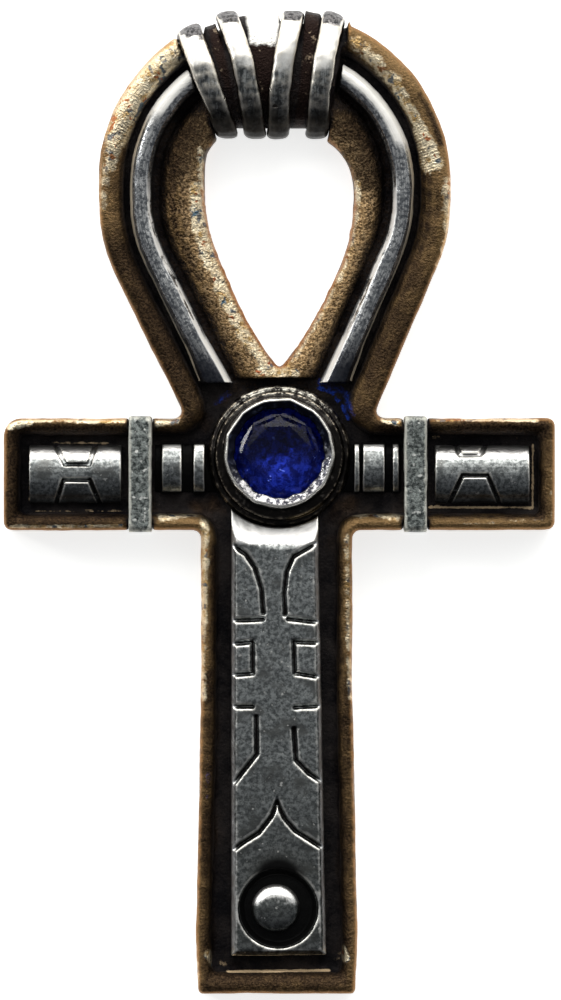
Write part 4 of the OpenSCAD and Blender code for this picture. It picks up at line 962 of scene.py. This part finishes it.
pewter, tree, shader = metal_named("Dull pewter")
where = placed(tree, "ShaderNodeTexCoord").outputs["Object"]
grains = cloudy(tree, where, 5000.0, 4, 0.8)
dull = tinted(tree, ramped(tree, grains, 0.38, 0.62), (0.04, 0.047, 0.046, 1), (0.3, 0.33, 0.315, 1))
pale_spots = ramped(tree, cloudy(tree, where, 3000.0, 2, 0.5), 0.62, 0.7)
dull = tinted(tree, pale_spots, dull, (0.7, 0.71, 0.68, 1))
edged = ramped(tree, broken(tree, mark_of(tree, "Edge"), grains, 0.12), 0.56, 0.72)
tree.links.new(tinted(tree, edged, dull, (0.6, 0.6, 0.54, 1)), shader.inputs["Base Color"])
shader.inputs["Metallic"].default_value = 0.85
shader.inputs["Roughness"].default_value = 0.42
embossed(tree, shader, grains, 0.06, 1.0)

for side in ("left", "right"):
    collar = poured(f"arm_collar_{side}", f"collar_{side}", collar_grid, 2)
    places, normals = points_of(collar.data)
    dents = unevenness(places, 0.8, 60)*0.03 + unevenness(places, 0.3, 61)*0.015
    set_points(collar.data, places + normals*(dents*risen(places[:, 2], 0, flat_back_t))[:, None])
    worn(collar, 8, 6)
    finished(collar, pewter, 30000, f"collar_{side}")


# The light is one broad soft window beyond the top of the loop, with dim grey all round, as a pendant
# on a copy stand would have. A small card on the left puts one pale facet on the stone.
def window(name, place, aim, size, watts, colour):
    """A soft rectangular light at a place, turned to where it aims, in millimetres."""
    light = bpy.data.lights.new(name, "AREA")
    light.shape = "RECTANGLE"
    light.size = size[0]*MM
    light.size_y = size[1]*MM
    light.energy = watts
    light.color = colour
    lamp = bpy.data.objects.new(name, light)
    lamp.location = Vector(place)*MM
    lamp.rotation_euler = (Vector(aim) - Vector(place)).to_track_quat("-Z", "Y").to_euler()
    bpy.context.scene.collection.objects.link(lamp)


window("Window", (0, 330, 190), (0, 0, 0), (560, 260), 0.9, (1.0, 0.98, 0.95))
window("Card", (-238, 102, 156), (0, 0, 0), (46, 46), 0.12, (1.0, 1.0, 1.0))

# The room is dim towards the foot, grey overhead and bright towards the window. Columns: how far round
# towards the window, and colour
world = bpy.data.worlds.new("Dim room")
world.use_nodes = True
tree = world.node_tree
way = placed(tree, "ShaderNodeTexCoord").outputs["Generated"]
towards_window = placed(tree, "ShaderNodeSeparateXYZ", {"Vector": way}).outputs["Y"]
room = placed(tree, "ShaderNodeValToRGB", {"Fac": placed(tree, "ShaderNodeMapRange",
    {"Value": towards_window, "From Min": -1.0, "From Max": 1.0}).outputs["Result"]})
room.color_ramp.elements[0].color = (0.02, 0.022, 0.025, 1)
room.color_ramp.elements[1].color = (1.0, 0.99, 0.96, 1)
for place, colour in ((0.42, (0.14, 0.145, 0.155, 1)), (0.5, (0.2, 0.21, 0.215, 1)),
        (0.62, (0.3, 0.31, 0.315, 1)), (0.76, (0.9, 0.9, 0.88, 1))):
    room.color_ramp.elements.new(place).color = colour
tree.links.new(room.outputs["Color"], tree.nodes["Background"].inputs["Color"])
tree.nodes["Background"].inputs["Strength"].default_value = 1.3
bpy.context.scene.world = world
bpy.context.scene.view_settings.view_transform = "Standard"
bpy.context.scene.view_settings.look = "None"

# The camera stands on a copy stand and looks straight down through a long lens, in millimetres
picture_h = 45.7
camera_height = 500
middle = Vector((0.055, 0.07))
sensor_h = 24
lens = bpy.data.cameras.new("Copy stand camera")
lens.sensor_fit = "VERTICAL"
lens.sensor_height = sensor_h
lens.lens = sensor_h*camera_height/picture_h
lens.clip_start = 0.01
lens.clip_end = 10
camera = bpy.data.objects.new("Copy stand camera", lens)
camera.location = (middle.x*MM, middle.y*MM, (camera_height + 2.5)*MM)
bpy.context.scene.collection.objects.link(camera)
bpy.context.scene.camera = camera
